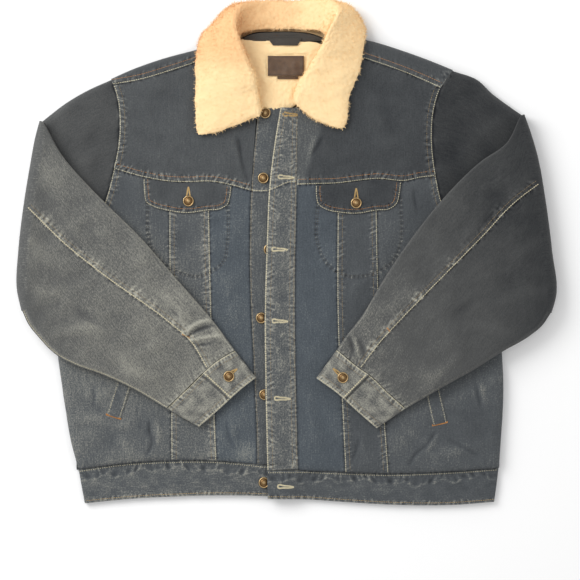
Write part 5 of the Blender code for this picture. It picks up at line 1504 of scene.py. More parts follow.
def sleeve_cloth(side, places, region, layer, tight):
    """Relief and colour, with rubbing and painted shade, of one section of a sleeve's layer."""
    if region == ARM and layer > 0:
        covered = under_sleeve(places)
        soft = crumple(places, 51, 44, 0.6) + folds(places, 53, 38, 0.5)
        crease, rubbed_lit_and_shaded = creases(places, CREASES_ARM)
        rise, worn = sewn(places, [f"armhole_{side}"])
        height = (soft + crease) * (1.0 - covered) - PRESSED * 0.4 * covered + rise
        # the creases' colour is partly painted light on ridges and painted shade in troughs
        return height, worn + 0.03 * soft + 0.05 * rubbed_lit_and_shaded
    if region == FORE and layer < 0:
        soft = crumple(places, 55, 56, 0.65) + crumple(places, 56, 21, 0.28)
        lines = folds(places, 57, 30, 0.55)
        crease, rubbed_lit_and_shaded = creases(places, CREASES_FORE)
        rise, worn = sewn(places, [f"sleeve_{side}", f"cuff_seam_{side}"])
        # the creases' colour is partly painted light on ridges and painted shade in troughs
        worn = worn + 0.02 * soft + 0.05 * lines + 0.095 * rubbed_lit_and_shaded + tone_spots(places, TONE_SPOTS_FORE)
        return (soft + lines + crease) * tight + rise, worn
    if region == ARM:
        # the lower layer rests on the table
        soft = crumple(places, 58, 70, 0.5)
        return np.minimum(soft - 0.4, 0.0), 0.03 * soft
    return np.zeros(len(places)), np.zeros(len(places))


def sleeve_row(side, part, section, v, layer, along):
    """One section's points, flat places, and colour from rubbing and painted shade, at shares v of its
    upper or lower layer.
    """
    plan, middle, half, turn, region, _ = section
    out = part["out"]
    p = plan(v)
    width = width_of(plan)
    around = edge_round(v, width, half)
    reach = half * around
    reach_turn = turn_at(part, v)
    if region == BEND:
        reach = np.where(layer > 0, np.minimum(reach, reach_turn - 0.5), reach)
    height, worn = np.zeros(len(v)), np.zeros(len(v))
    for sheet in (1, -1):
        mine = layer == sheet
        if mine.any():
            height[mine], worn[mine] = sleeve_cloth(
                side, p[mine], region, sheet, np.clip(around[mine], 0.0, 1.0))
    soft = np.clip(reach / half, 0.0, 1.0) ** 2
    reach = reach + height * soft
    normal = np.array([-out[0] * math.sin(turn), -out[1] * math.sin(turn), math.cos(turn)])
    at = np.concatenate([p, np.full((len(v), 1), middle)], axis=1)
    at[:, :2] += out * (math.sin(turn) * reach_turn)[:, None]
    at = at + normal * (layer * reach)[:, None]
    flat = np.stack([layer * v * width, np.full(len(v), along)], axis=1)
    worn = worn * soft
    if region == FORE:
        # the forearm's own edge is rubbed along a narrow line
        gap = np.minimum(v, 1.0 - v) * width
        worn = worn + 0.13 * np.exp(-((gap - 2.2) / 1.5) ** 2) * (layer < 0)
    return at, flat, worn


# Fade at the armhole, and at the start, the middle and the end of the forearm
SLEEVE_FADE = {"R": (0.25, 0.48, 0.56, 0.63), "L": (0.09, 0.115, 0.33, 0.52)}


def sleeve_fade(side, region, place):
    """How faded the sleeve is: more and more towards the cuff."""
    arm, *fore = SLEEVE_FADE[side]
    if region == ARM:
        return arm + 0.06 * place
    if region == BEND:
        return arm + 0.06 + (fore[0] - arm - 0.06) * place / math.pi
    return np.interp(place, [0.0, 0.45, 1.0], fore)


# %% Both sleeves
CUTS = (("top_sleeve", 0.62), ("under_sleeve", 0.30))    # name and flat width
SLEEVE_FLAT = 0.62                                       # flat length

for side, part in SLEEVES.items():
    rows = sections(part)
    fold_seam = seam_share(part, next(row for row in rows if row[4] == FORE)[0])
    stores = [], []
    along, before = 0.0, None
    for section in rows:
        plan, middle, half, turn, region, place = section
        width = width_of(plan)
        seam = seam_share(part, plan) if region == FORE else fold_seam
        centre = np.array([*plan(np.array([0.5]))[0], middle])
        centre[:2] += part["out"] * math.sin(turn) * TURN
        along += 0.0 if before is None else float(norm(centre - before))
        before = centre
        back = layer_shares(width, half, 0.0, seam, 46)[::-1]
        front = layer_shares(width, half, 0.0, 1.0, 42)[1:]
        lower = layer_shares(width, half, seam, 1.0, 46)[::-1]
        shade = sleeve_fade(side, region, place)
        for store, v, layer in (
                (stores[0], np.concatenate([back, front]), np.repeat([-1, 1], [len(back), len(front)])),
                (stores[1], lower, np.full(len(lower), -1))):
            at, flat, worn = sleeve_row(side, part, section, v, layer, along)
            store.append((at, flat, shade + worn))
    for (name, width), store in zip(CUTS, stores):
        at, flat, fade_and_shade = (np.array([row[k] for row in store]) for k in range(3))
        key = f"{name}_{side}"
        spans = norm(np.diff(at, axis=1), axis=2)
        steps = norm(np.diff(at, axis=0), axis=2)
        area = float((spans[1:] * (steps[:, 1:] + steps[:, :-1]) / 2).sum()) * MM * MM
        made = stand_in(
            key, cloth(key, at, flat, fade_and_shade, DENIM["sleeve"], turned=side == "R"), "denim_sleeve",
            flat=(width, SLEEVE_FLAT), held="folded", rests_on=[f"front_side_{side}_cloth"],
            area=min(area * 0.95, width * SLEEVE_FLAT))
        print(key, len(made.data.polygons), "faces", round(area, 3), "square metres")

# %% [markdown]
# ## Cuffs
# A cuff is a folded band that goes once round the sleeve's end and buttons over its own start. Its
# section is a flat loop. The band's outside and inside are rows of points along the loop, closed
# round both edges into one wall, so the edges look folded instead of cut.

# %% Cuffs
CUFF_WALL = 3.4
CUFF_GAP = 0.5
CUFF_TALL = 50.0         # height of the band
CUFF_FLOOR = FORE_LOW + 0.1
CUFF_MIDDLE = CUFF_FLOOR + CUFF_WALL + 0.4
CUFF_TOP = CUFF_FLOOR + 2 * CUFF_WALL + 0.8
CUFF_TAB = CUFF_TOP + (CUFF_WALL + 0.4)


def cuff_stations():
    """Share across the sleeve and height, outside and inside, along the band."""
    floor, middle, top, tab, wall = CUFF_FLOOR, CUFF_MIDDLE, CUFF_TOP, CUFF_TAB, CUFF_WALL
    return np.array([
        (0.170, top, 0.170, top - wall), (0.40, top, 0.40, top - wall), (0.68, top, 0.68, top - wall),
        (0.95, top, 0.94, top - wall), (0.985, top - 1.4, 0.968, middle + 0.3),
        (1.0, middle, 0.974, middle), (0.985, floor + 1.4, 0.968, middle - 0.3),
        (0.95, floor, 0.94, floor + wall), (0.68, floor, 0.68, floor + wall),
        (0.40, floor, 0.40, floor + wall), (0.05, floor, 0.06, floor + wall),
        (0.015, floor + 1.4, 0.032, middle - 0.3), (0.0, middle, 0.026, middle),
        (0.012, top - 0.6, 0.032, middle + 0.3), (0.05, top + 0.8, 0.06, top - wall),
        (0.12, tab, 0.13, top + 0.4), (0.28, tab, 0.28, top + 0.4), (0.435, tab, 0.435, top + 0.4),
        (0.44, tab - 0.5, 0.44, top + 0.8)])


def cuff_relief(along, w, v, seed, last):
    """Relief and colour of the band's outside, with its rubbing and painted shade, at one share w of its
    height.
    """
    gap = min(w, 1.0 - w) * CUFF_TALL
    rows = np.exp(-((gap - 2.0) / 1.3) ** 2) + 0.8 * np.exp(-((gap - 9.0) / 1.3) ** 2)
    ripple = puckers(along, gap, seed) * (1.0 - ease((gap - 3) / 9.0))
    spots = np.stack([along, np.full(len(along), w * CUFF_TALL)], 1)
    soft = crumple(spots, 61, 26, 0.35) + folds(spots, 67, 21, 0.6)
    relief = soft + 0.45 * ripple - 0.45 * rows - 0.95 * rounding(gap, 2.2)
    worn = 0.30 * np.clip(0.2 + ripple, -0.4, 1) * (1.0 - ease((gap - 5) / 8.0)) + 0.05 * soft
    worn = worn + 0.28 * math.exp(-(gap / 1.8) ** 2) + crumple(spots, 69, 14.0, 0.045)
    # painted shadow where the tab's end steps down onto the band, and painted shade in the grooves of the
    # rows
    return relief, worn - 0.30 * np.exp(-((v - 0.457) / 0.011) ** 2) * (along < last) - 0.08 * rows


stations = cuff_stations()
for side, part in SLEEVES.items():
    seam, mouth = part["cuff_seam"], part["cuff_mouth"]
    run = run_of(np.abs(np.diff(stations[:, 0])) * seam.length + np.abs(np.diff(stations[:, 1])))
    want = np.unique(np.concatenate([np.linspace(0, run[-1], int(run[-1] / 1.7)), run[-3:]]))
    v_out, z_out, v_in, z_in = (np.interp(want, run, stations[:, k]) for k in range(4))
    outside = [(w, True) for w in shares(CUFF_TALL, 1.7, (0.3, 0.8, 1.6))]
    columns = []
    for w, outer in outside + [(w, False) for w in np.linspace(1.0, 0.0, 14)[1:-1]]:
        v, z = (v_out, z_out) if outer else (v_in, z_in)
        a, b = seam.at(v), mouth.at(v)
        length = norm(b - a, axis=1)
        p = a + (b - a) * ((CUFF_GAP + w * (length - CUFF_GAP)) / length)[:, None]
        relief, worn = np.full(len(want), -0.3), np.zeros(len(want))
        if outer:
            relief, worn = cuff_relief(want, w, v, 4.0 + seam.points[0, 0], run[3])
        lean = np.where(np.abs(z - CUFF_MIDDLE) > 2.0, np.sign(z - CUFF_MIDDLE), 0.0)
        columns.append((np.column_stack([p, z + relief * lean * (1 if outer else -0.4)]),
                        np.stack([np.full(len(want), w * 52.0), want], 1),
                        (0.66 if side == "R" else 0.64) + worn))
    columns.append(columns[0])
    at, flat, fade_and_shade = (np.stack([column[k] for column in columns], axis=1) for k in range(3))
    flat[:, -1, 0] = -2.0
    made = cloth(f"cuff_{side}", at, flat, fade_and_shade, DENIM["sleeve"])
    bm = bmesh.new()
    bm.from_mesh(made.data)
    bmesh.ops.remove_doubles(bm, verts=bm.verts, dist=0.000015)
    bmesh.ops.holes_fill(bm, edges=[e for e in bm.edges if e.is_boundary], sides=0)
    bmesh.ops.recalc_face_normals(bm, faces=bm.faces)
    bm.to_mesh(made.data)
    bm.free()
    made.data.set_sharp_from_angle(angle=math.radians(SHARP))
    stand_in(
        f"cuff_{side}", made, "denim_sleeve", flat=(0.058, run[-1] * MM + 0.01), held="folded",
        rests_on=[f"top_sleeve_{side}_cloth"])
print("cuffs", round(run[-1]), "mm round")

# %% [markdown]
# ## Pocket flaps and welts
# A flap is two layers of denim sewn together and turned, so its edge is thick and round and its
# two rows of stitches sit close to it. It hangs from the yoke seam and lies on the panels, so its
# height is that of the panels plus its own thickness. The hand pockets are slits with a welt.

# %% Flaps
FLAPS = {
    "R": (
        [(-222, 112), (-221, 92), (-218, 76)],
        [(-218, 76), (-204, 68), (-185, 63), (-154, 59), (-123, 63), (-103, 65), (-91, 72)],
        [(-85, 100), (-87, 84), (-91, 72)], YOKE_R, 0.34),
    "L": (
        [(45, 102), (45, 88), (49, 72)],
        [(49, 72), (62, 64), (80, 60), (108, 58), (140, 63), (160, 65), (171, 73)],
        [(178, 107), (176, 90), (171, 73)], YOKE_L, 0.205),
}
FLAP_WALL = 2.6


def flap_cloth(places, side):
    base = front_top(places) + 0.5 + FLAP_WALL
    rise, worn = sewn(places, [f"flap_{side}"])
    soft = crumple(places, 63, 30, 0.3)
    return base + rise + soft, worn + 0.06 * soft


for side, (first, low, last, yoke, base) in FLAPS.items():
    low_line = Line(low)
    outline = Line(first[:-1] + low + last[::-1][1:])
    SEAMS[f"flap_{side}"] = Seam(outline, 1, (1.5, 7.0), 0.0, 0.4, 5.0, 0.30)

    def top_edge(share, start=first[0][0], end=last[0][0], yoke=yoke):
        x = start + (end - start) * share
        return np.stack([x, yoke.y(x) - 0.9], axis=-1)

    def edge(points, tip):
        # the flap's side, led to the yoke seam at its upper end
        line = Line(points[::-1])

        def at(share):
            return line.at(share) + (tip - line.at(np.array([1.0]))[0]) * (
                np.asarray(share) ** 2)[:, None]
        return at

    tips = top_edge(np.array([0.0, 1.0]))
    plan = patch(
        low_line.at, top_edge, edge(first, tips[0]), edge(last, tips[1]), shares(130.0, 1.5),
        shares(42.0, 1.5))
    height, worn = read_grid(flap_cloth, plan, side)
    sheet_of(
        f"pocket_flap_{side}", plan, height, read_grid(front_top, plan) + 0.4, base + worn,
        DENIM["yoke"], turn=1.1, rests=(f"front_middle_{side}_cloth",))
print("flap stitches", round(SEAMS["flap_R"].line.length), "mm")


# %% Welts
def welt_frame(side):
    """A welt's two ends, and the directions along and across it."""
    start, end = (np.array(p, float) for p in WELTS[side])
    along = (end - start) / norm(end - start)
    return start, end, along, left_of(along)


for side, seed, base in (("R", 7.0, 0.50), ("L", 3.0, 0.42)):
    start, end, along, across = welt_frame(side)
    corners = [tip + across * half for tip in (start, end) for half in (-WELT_HALF, WELT_HALF)]
    plan = cornered(
        corners, None, None, None, None, shares(2 * WELT_HALF, 1.3),
        shares(float(norm(end - start)), 1.6))
    places = plan.reshape(-1, 2)
    signed, run, _ = Line([start, end]).near(places)
    gap = WELT_HALF - np.abs(signed)
    ripple = puckers(run, gap, seed) * (1.0 - ease((gap - 3) / 5.0))
    rows = np.exp(-((gap - 2.0) / 1.2) ** 2)
    soft = crumple(places, 65, 22, 0.25)
    height = front_top(places) + 2.0 + 0.4 * ripple - 0.4 * rows + soft
    worn = 0.12 * ripple + 0.22 * np.exp(-(gap / 1.4) ** 2) + 0.08 * soft
    grid = plan.shape[:2]
    sheet_of(
        f"welt_{side}", plan, height.reshape(grid), read_grid(front_top, plan) + 0.2,
        base + worn.reshape(grid), DENIM["side"], np.stack([signed, run], axis=1).reshape(plan.shape),
        turn=0.8, rests=(f"front_side_{side}_cloth",))
print("sheets", len(MADE))

# %% [markdown]
# ## Sherpa: collar and lining
# Sherpa is a knit with a curly pile that stands a few millimetres high and clumps into small knots.
# Each piece starts as a merged copy of its solid, which already has the right size and roll, and a
# Subdivision Surface modifier rounds it. Then its points move out along their normals by a pattern
# of knots, and many short curved locks of hair are set on it, so the outline is fuzzy too.

# %% A soft copy of a solid
def merged_copy(node, flatness):
    """A bmesh of a solid, with its triangles joined into faces up to an angle in degrees."""
    source = bpy.data.objects[node]
    bm = bmesh.new()
    bm.from_mesh(source.data)
    bmesh.ops.transform(bm, matrix=source.matrix_world, verts=bm.verts)
    bmesh.ops.remove_doubles(bm, verts=bm.verts, dist=0.00001)
    bmesh.ops.join_triangles(
        bm, faces=bm.faces, angle_face_threshold=math.radians(flatness),
        angle_shape_threshold=math.radians(60))
    return bm


def soft_copy(node, levels):
    """A solid's merged copy as a rounded mesh, with the modifier applied."""
    rough = placed(f"{node}_rough", mesh_of(f"{node}_rough", merged_copy(node, 60)))
    modifier = rough.modifiers.new("round", "SUBSURF")
    modifier.levels = modifier.render_levels = levels
    graph = bpy.context.evaluated_depsgraph_get()
    smooth = bpy.data.meshes.new_from_object(rough.evaluated_get(graph))
    bpy.data.objects.remove(rough)
    return smooth


def read_mesh(mesh):
    """A mesh's points in mm, and their normals."""
    at, out = np.empty((2, len(mesh.vertices) * 3))
    mesh.vertices.foreach_get("co", at)
    mesh.vertex_normals.foreach_get("vector", out)
    return at.reshape(-1, 3) / MM, out.reshape(-1, 3)


# %% A pattern of knots
WARPS = (((0.9, 1.3, 0.5), 0.3), ((-1.2, 0.7, 0.8), 1.7), ((0.6, -0.9, 1.4), 2.9))


def knots(at, size, seed):
    """1 in the middle of a knot and 0 between knots: the distance to scattered points."""
    warp = np.stack([np.sin(at @ np.array(way) / size + phase) for way, phase in WARPS], axis=1)
    at = at + warp * size * 0.30
    cell = np.floor(at / size)
    best = np.full(len(at), 1e9)
    for step in np.ndindex(3, 3, 3):
        near = cell + (np.array(step) - 1)
        code = near @ np.array([127.1, 311.7, 74.7]) + seed
        spot = np.stack([
            np.modf(np.abs(np.sin(code + k * 19.19) * 43758.5453))[0] for k in range(3)], axis=1)
        best = np.minimum(best, norm((near + spot) * size - at, axis=1))
    return np.clip(1.0 - best / size, 0.0, 1.0)


COVERS = ["label", "size_tab", "neck_tape", "hanger_loop"]
LINING_SPREAD = 5.0


def covered(at, margin):
    """Which places lie under the label or a tape, or within a margin in mm of it."""
    found = np.zeros(len(at), bool)
    for node in COVERS:
        low, high = (np.array(corner[:]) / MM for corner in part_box(node))
        found |= np.all((at[:, :2] > low[:2] - margin) & (at[:, :2] < high[:2] + margin), axis=1)
    return found


def painted_collar_shade(at):
    """How much painted shade darkens and warms the pile: most on the collar's back and its right leaf."""
    x, y = at[:, 0], at[:, 1]
    back = ease((y - 252.0) / 70.0) * (0.18 + 0.46 * ease((60.0 - x) / 100.0))
    return back + 0.15 * ease((-30.0 - x) / 60.0)


KNOT = 4.6               # size of a knot of the pile
ROUNDS = 3               # levels of the modifier


def make_pile(node, height, sink, flat, rests, held):
    """A sherpa piece: its height in mm. The flat size of its cloth, in metres, is not used."""
    mesh = soft_copy(node, ROUNDS)
    at, out = read_mesh(mesh)
    big = knots(at, KNOT, 3.0)
    small = knots(at, KNOT * 0.45, 9.0)
    rough = crumple(at[:, :2] + at[:, 2:] * 0.7, 71, 30, 0.35)
    rise = height * (big ** 1.3 * 1.25 + 0.35 * small) - sink + rough
    if node == "neck_lining":
        rise = np.where(covered(at, 1.0), np.minimum(rise, -1.6), rise)
        # the pile spreads over the edges of its cloth
        near, far = at[:, :2].min(0), at[:, :2].max(0)
        unit = (at[:, :2] - (near + far) / 2) / (far - near) * 2
        corner = 1.0 + 1.6 * np.abs(unit[:, 0] * unit[:, 1])
        at[:, 0] += unit[:, 0] * corner * LINING_SPREAD
        at[:, 1] += unit[:, 1] * np.where(unit[:, 1] < 0, corner * 1.6, 0.8) * LINING_SPREAD
    moved = at + out * rise[:, None]
    moved[:, 2] = np.maximum(moved[:, 2], 0.2)
    mesh.vertices.foreach_set("co", (moved * MM).ravel())
    # the pile is paler on the knots and darker between them: painted shade in the hollows between knots
    pile = 0.64 + 0.22 * big + 0.13 * small + 0.06 * rough
    # the collar's pile is darkened by painted shade on its back and right leaf
    # the lining's pile is painted lighter, as painted light against the collar's shadow on it
    pile = pile - painted_collar_shade(at) if node == "collar" else pile + 0.12
    keep(mesh, "pile", np.clip(pile, 0.0, 1.0))
    mesh.materials.clear()
    mesh.materials.append(SHERPA)
    mesh.shade_smooth()
    mesh.update()
    return stand_in(
        node, placed(f"{node}_sherpa", mesh), "sherpa", flat=flat, held=held, rests_on=rests)


collar = make_pile(
    "collar", 1.25, 0.65, (0.54, 0.14), ["front_yoke_R_cloth", "front_yoke_L_cloth"], "folded")
lining = make_pile("neck_lining", 1.4, 0.5, (0.145, 0.105), ["back_yoke_cloth"], "laid")
print("collar", len(collar.data.polygons), "faces, lining", len(lining.data.polygons))

# %% [markdown]
# ## Locks of hair
# A lock is a narrow tapered blade, bent over. One small template is made with bmesh, and its points
# are copied by the thousand: each copy stands on a random point of the sherpa, turned at random and
# leaning over, with its own length. The faces are few, because this shape is repeated so often.

# %% Copies of one template, as one mesh
def copies(name, template, places, frames, finish, tones=None):
    """One mesh of many copies: a template's points, times a frame of 3 axes, at each place."""
    base = np.array([v.co[:] for v in template.verts])
    rings = [[v.index for v in f.verts] for f in template.faces]
    corners = np.concatenate(rings)
    starts = np.cumsum([0] + [len(ring) for ring in rings[:-1]])
    turns = np.arange(len(places))[:, None]
    points = np.einsum("nij,kj->nki", frames, base) + places[:, None, :]
    mesh = bpy.data.meshes.new(name)
    mesh.vertices.add(len(places) * len(base))
    mesh.loops.add(len(places) * len(corners))
    mesh.polygons.add(len(places) * len(rings))
    mesh.vertices.foreach_set("co", (points.reshape(-1, 3) * MM).ravel())
    mesh.loops.foreach_set("vertex_index", (corners + turns * len(base)).ravel())
    mesh.polygons.foreach_set("loop_start", (starts + turns * len(corners)).ravel())
    mesh.update(calc_edges=True)
    if tones is not None:
        keep(mesh, "pile", np.repeat(tones, len(base)))
    mesh.shade_smooth()
    mesh.materials.append(finish)
    made = placed(name, mesh)
    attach(made, "root")
    print(name, len(places), "copies,", len(places) * sum(len(r) - 2 for r in rings), "triangles")


def scattered(mesh, count, rng):
    """Random points on a mesh with their normals."""
    mesh.calc_loop_triangles()
    corners = np.empty(len(mesh.loop_triangles) * 3, int)
    mesh.loop_triangles.foreach_get("vertices", corners)
    corners = corners.reshape(-1, 3)
    at, out = read_mesh(mesh)
    a, b, c = (at[corners[:, k]] for k in range(3))
    across = np.cross(b - a, c - a)
    area = norm(across, axis=1)
    # five times as dense on a steep side as on a level top, so that the outline is full
    area = area - 0.8 * np.abs(across[:, 2])
    pick = rng.choice(len(area), count, p=area / area.sum())
    u, v = rng.random(count), rng.random(count)
    over = u + v > 1.0
    u, v = np.where(over, 1 - u, u), np.where(over, 1 - v, v)
    return a[pick] + (b - a)[pick] * u[:, None] + (c - a)[pick] * v[:, None], out[corners[pick, 0]]


def unit_rows(ways):
    return ways / norm(ways, axis=1)[:, None]


LOCK_WIDTH = 0.7
LOCK_SINK = 0.6          # how deep a lock is rooted
LOCK_LEAN = 0.50         # how much it leans over
LOCK_TONE = 0.86


def hairs(name, mesh, count, length, seed, bare, shade):
    """Locks over a sherpa piece, but for the places that are bare."""
    rng = np.random.default_rng(seed)
    lock = bmesh.new()
    bmesh.ops.create_grid(lock, x_segments=1, y_segments=2, size=0.5)
    for v in lock.verts:
        t = v.co.y + 0.5
        side = v.co.x * (1.0 - 0.75 * t ** 1.5)
        v.co = (side, 0.45 * t ** 2 + 0.10 * math.sin(6.0 * t), t - 0.22 * t ** 2)
    lock.verts.index_update()
    places, normals = scattered(mesh, count, rng)
    grown = ~bare(places)
    places, normals = places[grown], normals[grown]
    n = len(places)
    up = unit_rows(normals + rng.normal(0.0, LOCK_LEAN, (n, 3)))
    side = unit_rows(np.cross(up, rng.normal(0.0, 1.0, (n, 3))))
    front = np.cross(up, side)
    tall = length * rng.uniform(0.6, 1.35, n) * (1.25 - 0.75 * np.abs(normals[:, 2]))
    wide = LOCK_WIDTH * rng.uniform(0.7, 1.3, n)
    frames = np.stack([side * wide[:, None], front * tall[:, None], up * tall[:, None]], axis=2)
    tone = np.clip(rng.normal(LOCK_TONE, 0.08, n) - shade(places), 0.1, 1.0)
    copies(name, lock, places - normals * LOCK_SINK, frames, SHERPA, tone)
    lock.free()


hairs("collar_locks", collar.data, 28000, 4.4, 5, lambda at: at[:, 2] <= 5.5, painted_collar_shade)
hairs("lining_locks", lining.data, 4200, 3.4, 6,
      lambda at: (at[:, 2] <= 16.0) | covered(at, 2.4), lambda at: 0.0)

# %% [markdown]
# ## Neck tape, hanger loop, size tab and label
# These are narrow woven and leather pieces. Each is a merged copy of its solid with its sharp edges
# bevelled and its faces divided, so that it can bend a little. The label is bare leather.

# %% Trims
def trim(node, finish, slot, flat, held, rests, bevel=0.35, wave=0.15, cuts=3, area=None):
    bm = merged_copy(node, 40)
    sharp = [e for e in bm.edges if len(e.link_faces) == 2 and e.calc_face_angle() > 0.8]
    bmesh.ops.bevel(
        bm, geom=sharp, offset=bevel * MM, offset_type="OFFSET", segments=2, profile=0.5,
        affect="EDGES", material=-1)
    bmesh.ops.subdivide_edges(bm, edges=bm.edges, cuts=cuts, use_grid_fill=True)
    bmesh.ops.recalc_face_normals(bm, faces=bm.faces)
    mesh = mesh_of(f"{node}_piece", bm)
    at, _ = read_mesh(mesh)
    at[:, 2] += crumple(at[:, :2], 81, 18, wave)
    mesh.vertices.foreach_set("co", (at * MM).ravel())
    mesh.shade_smooth()
    mesh.materials.append(finish)
    mesh.update()
    stand_in(node, placed(f"{node}_piece", mesh), slot, flat=flat, held=held, rests_on=rests,
             area=area)


trim("neck_tape", TAPE, "dark_tape", (0.14, 0.016), "laid", ["back_yoke_cloth"])
trim("hanger_loop", TAPE, "dark_tape", (0.056, 0.012), "laid", ["neck_tape_piece"])
trim("size_tab", TAPE_BROWN, "dark_tape", (0.033, 0.0104), "folded", ["neck_lining_sherpa"],
     0.15, 0.05, 2, 0.033 * 0.0052)
trim("label", LEATHER, "leather", (0.057, 0.032), "laid", ["neck_lining_sherpa"], 0.4, 0.3, 4)
print("trims", [len(MADE[key].data.polygons) for key in ("neck_tape", "hanger_loop", "label")])

# %% [markdown]
# ## Buttons
# Jeans buttons are stamped copper caps on rivets. A cap is a turned shape, so its profile is
# drawn once and spun. Its rim and its dome are rubbed bright, and the groove between stays dark: an
# attribute called worn keeps that for the metal's material.

# %% Copper buttons
BUTTON_PROFILE = [
    # radius, height, how bright it is rubbed
    (0.0, 0.0, 0.2), (7.5, 0.0, 0.2), (8.15, 0.3, 0.4), (8.5, 1.1, 0.6), (8.4, 1.9, 0.8),
    (8.0, 2.5, 1.0), (7.5, 2.7, 1.0), (7.0, 2.6, 0.7), (6.6, 2.25, 0.2), (6.2, 2.1, 0.05),
    (5.7, 2.25, 0.1), (5.0, 2.75, 0.35), (4.3, 3.15, 0.5), (3.7, 3.3, 0.35), (3.3, 3.25, 0.2),
    (2.8, 3.45, 0.5), (1.6, 3.72, 0.85), (0.0, 3.8, 0.9)]
BUTTON_STEPS = 40
BUTTONS = [f"button_front_{k}" for k in range(1, 7)] + [
    f"button_{place}_{side}" for place in ("flap", "cuff") for side in "RL"]

for node in BUTTONS:
    low, high = (np.array(corner[:]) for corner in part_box(node))
    middle = (low + high) / 2
    bm = bmesh.new()
    points = [bm.verts.new((r * MM, 0.0, z * MM)) for r, z, _ in BUTTON_PROFILE]
    edges = [bm.edges.new(pair) for pair in zip(points, points[1:])]
    bmesh.ops.spin(
        bm, geom=points + edges, cent=(0, 0, 0), axis=(0, 0, 1), angle=math.tau,
        steps=BUTTON_STEPS, use_merge=True, use_duplicate=False)
    bmesh.ops.remove_doubles(bm, verts=bm.verts, dist=0.000005)
    bmesh.ops.recalc_face_normals(bm, faces=bm.faces)
    bmesh.ops.translate(bm, verts=bm.verts, vec=(middle[0], middle[1], low[2]))
    mesh = mesh_of(f"{node}_cap", bm)
    at, _ = read_mesh(mesh)
    radius = np.hypot(at[:, 0] - middle[0] / MM, at[:, 1] - middle[1] / MM)
    height = at[:, 2] - low[2] / MM
    table = np.array(BUTTON_PROFILE)
    match = np.argmin(
        np.abs(radius[:, None] - table[:, 0]) + np.abs(height[:, None] - table[:, 1]), axis=1)
    keep(mesh, "worn", table[match, 2])
    mesh.shade_smooth()
    mesh.set_sharp_from_angle(angle=math.radians(50))
    mesh.materials.append(COPPER)
    stand_in(node, placed(f"{node}_cap", mesh), "copper")
print("buttons", len(BUTTONS), "of", len(mesh.polygons), "faces")

# %% [markdown]
# ## Sewing
# Topstitching is what a jean jacket shows most. Each stitch is one short arch of thick thread whose
# ends dive into the cloth. One template arch is copied along every row, and rays dropped onto the
# finished cloth give the heights of its two ends, so the stitches follow every pucker. Bar tacks
# and buttonholes are the same thread, laid side by side across a bar.

# %% Stitches
STITCH = 3.5             # from one hole to the next
THREAD = 0.72            # width of the thread
EDGE_THREAD = 1.1        # the thicker thread of the rows at an edge
BOLD_THREAD = 1.8        # and of the placket's edge and the cuffs' tabs
TACK_PITCH = 0.62        # between the threads of a bar tack
HOLE_PITCH = 0.6         # and of a buttonhole
MISSED = -1e3            # the height where a ray meets nothing
STEEP = 3.5              # a stitch isn't laid over a step as high as this
SEWING = {colour: [] for colour in THREADS}


def trees_of(*names):
    graph = bpy.context.evaluated_depsgraph_get()
    return [BVHTree.FromObject(MADE[name], graph) for name in names]


def heights_on(trees, places, below=False):
    """Heights in mm of some pieces at plan places, from above or from below."""
    start, way = (-0.05, 1.0) if below else (0.2, -1.0)
    found = np.full(len(places), MISSED)
    for k, (x, y) in enumerate((places + SHIFT) * MM):
        hits = [tree.ray_cast(Vector((x, y, start)), Vector((0, 0, way)))[0] for tree in trees]
        hits = [hit.z / MM for hit in hits if hit is not None]
        if hits:
            found[k] = min(hits) if below else max(hits)
    return found


def lay(colour, starts, ends, trees, width=THREAD, below=False, sink=0.0):
    """Threads between pairs of plan places."""
    z, z_end = np.split(heights_on(trees, np.concatenate([starts, ends]), below), 2)
    sink = -0.15 if below else sink
    first = np.column_stack([starts + SHIFT, z - sink])
    last = np.column_stack([ends + SHIFT, z_end - sink])
    kept = (z > MISSED) & (z_end > MISSED) & (np.abs(z - z_end) < STEEP)
    count = kept.sum()
    SEWING[colour].append(
        (first[kept], last[kept], np.full(count, width), np.full(count, -1.0 if below else 1.0)))


def middles(count):
    return (np.arange(count) + 0.5) / count


def row(colour, line, offset, trees, below=False, pitch=STITCH, width=THREAD, gap=0.2):
    """A row of stitches along a line, moved to its left by an offset."""
    path = line.moved(offset) if offset else line
    count = int(path.length / pitch)
    half = (0.5 - gap / 2) / count
    lay(colour, path.at(middles(count) - half), path.at(middles(count) + half), trees, width, below)


def tack(colour, a, b, trees, width=2.2):
    """A bar of close threads from a to b."""
    a, b = np.array(a, float), np.array(b, float)
    size = norm(b - a)
    across = left_of(b - a) / size
    steps = (np.arange(int(size / TACK_PITCH)) + 0.5) * TACK_PITCH / size
    spots = a + (b - a) * steps[:, None]
    lay(colour, spots - across * width / 2, spots + across * width / 2, trees)


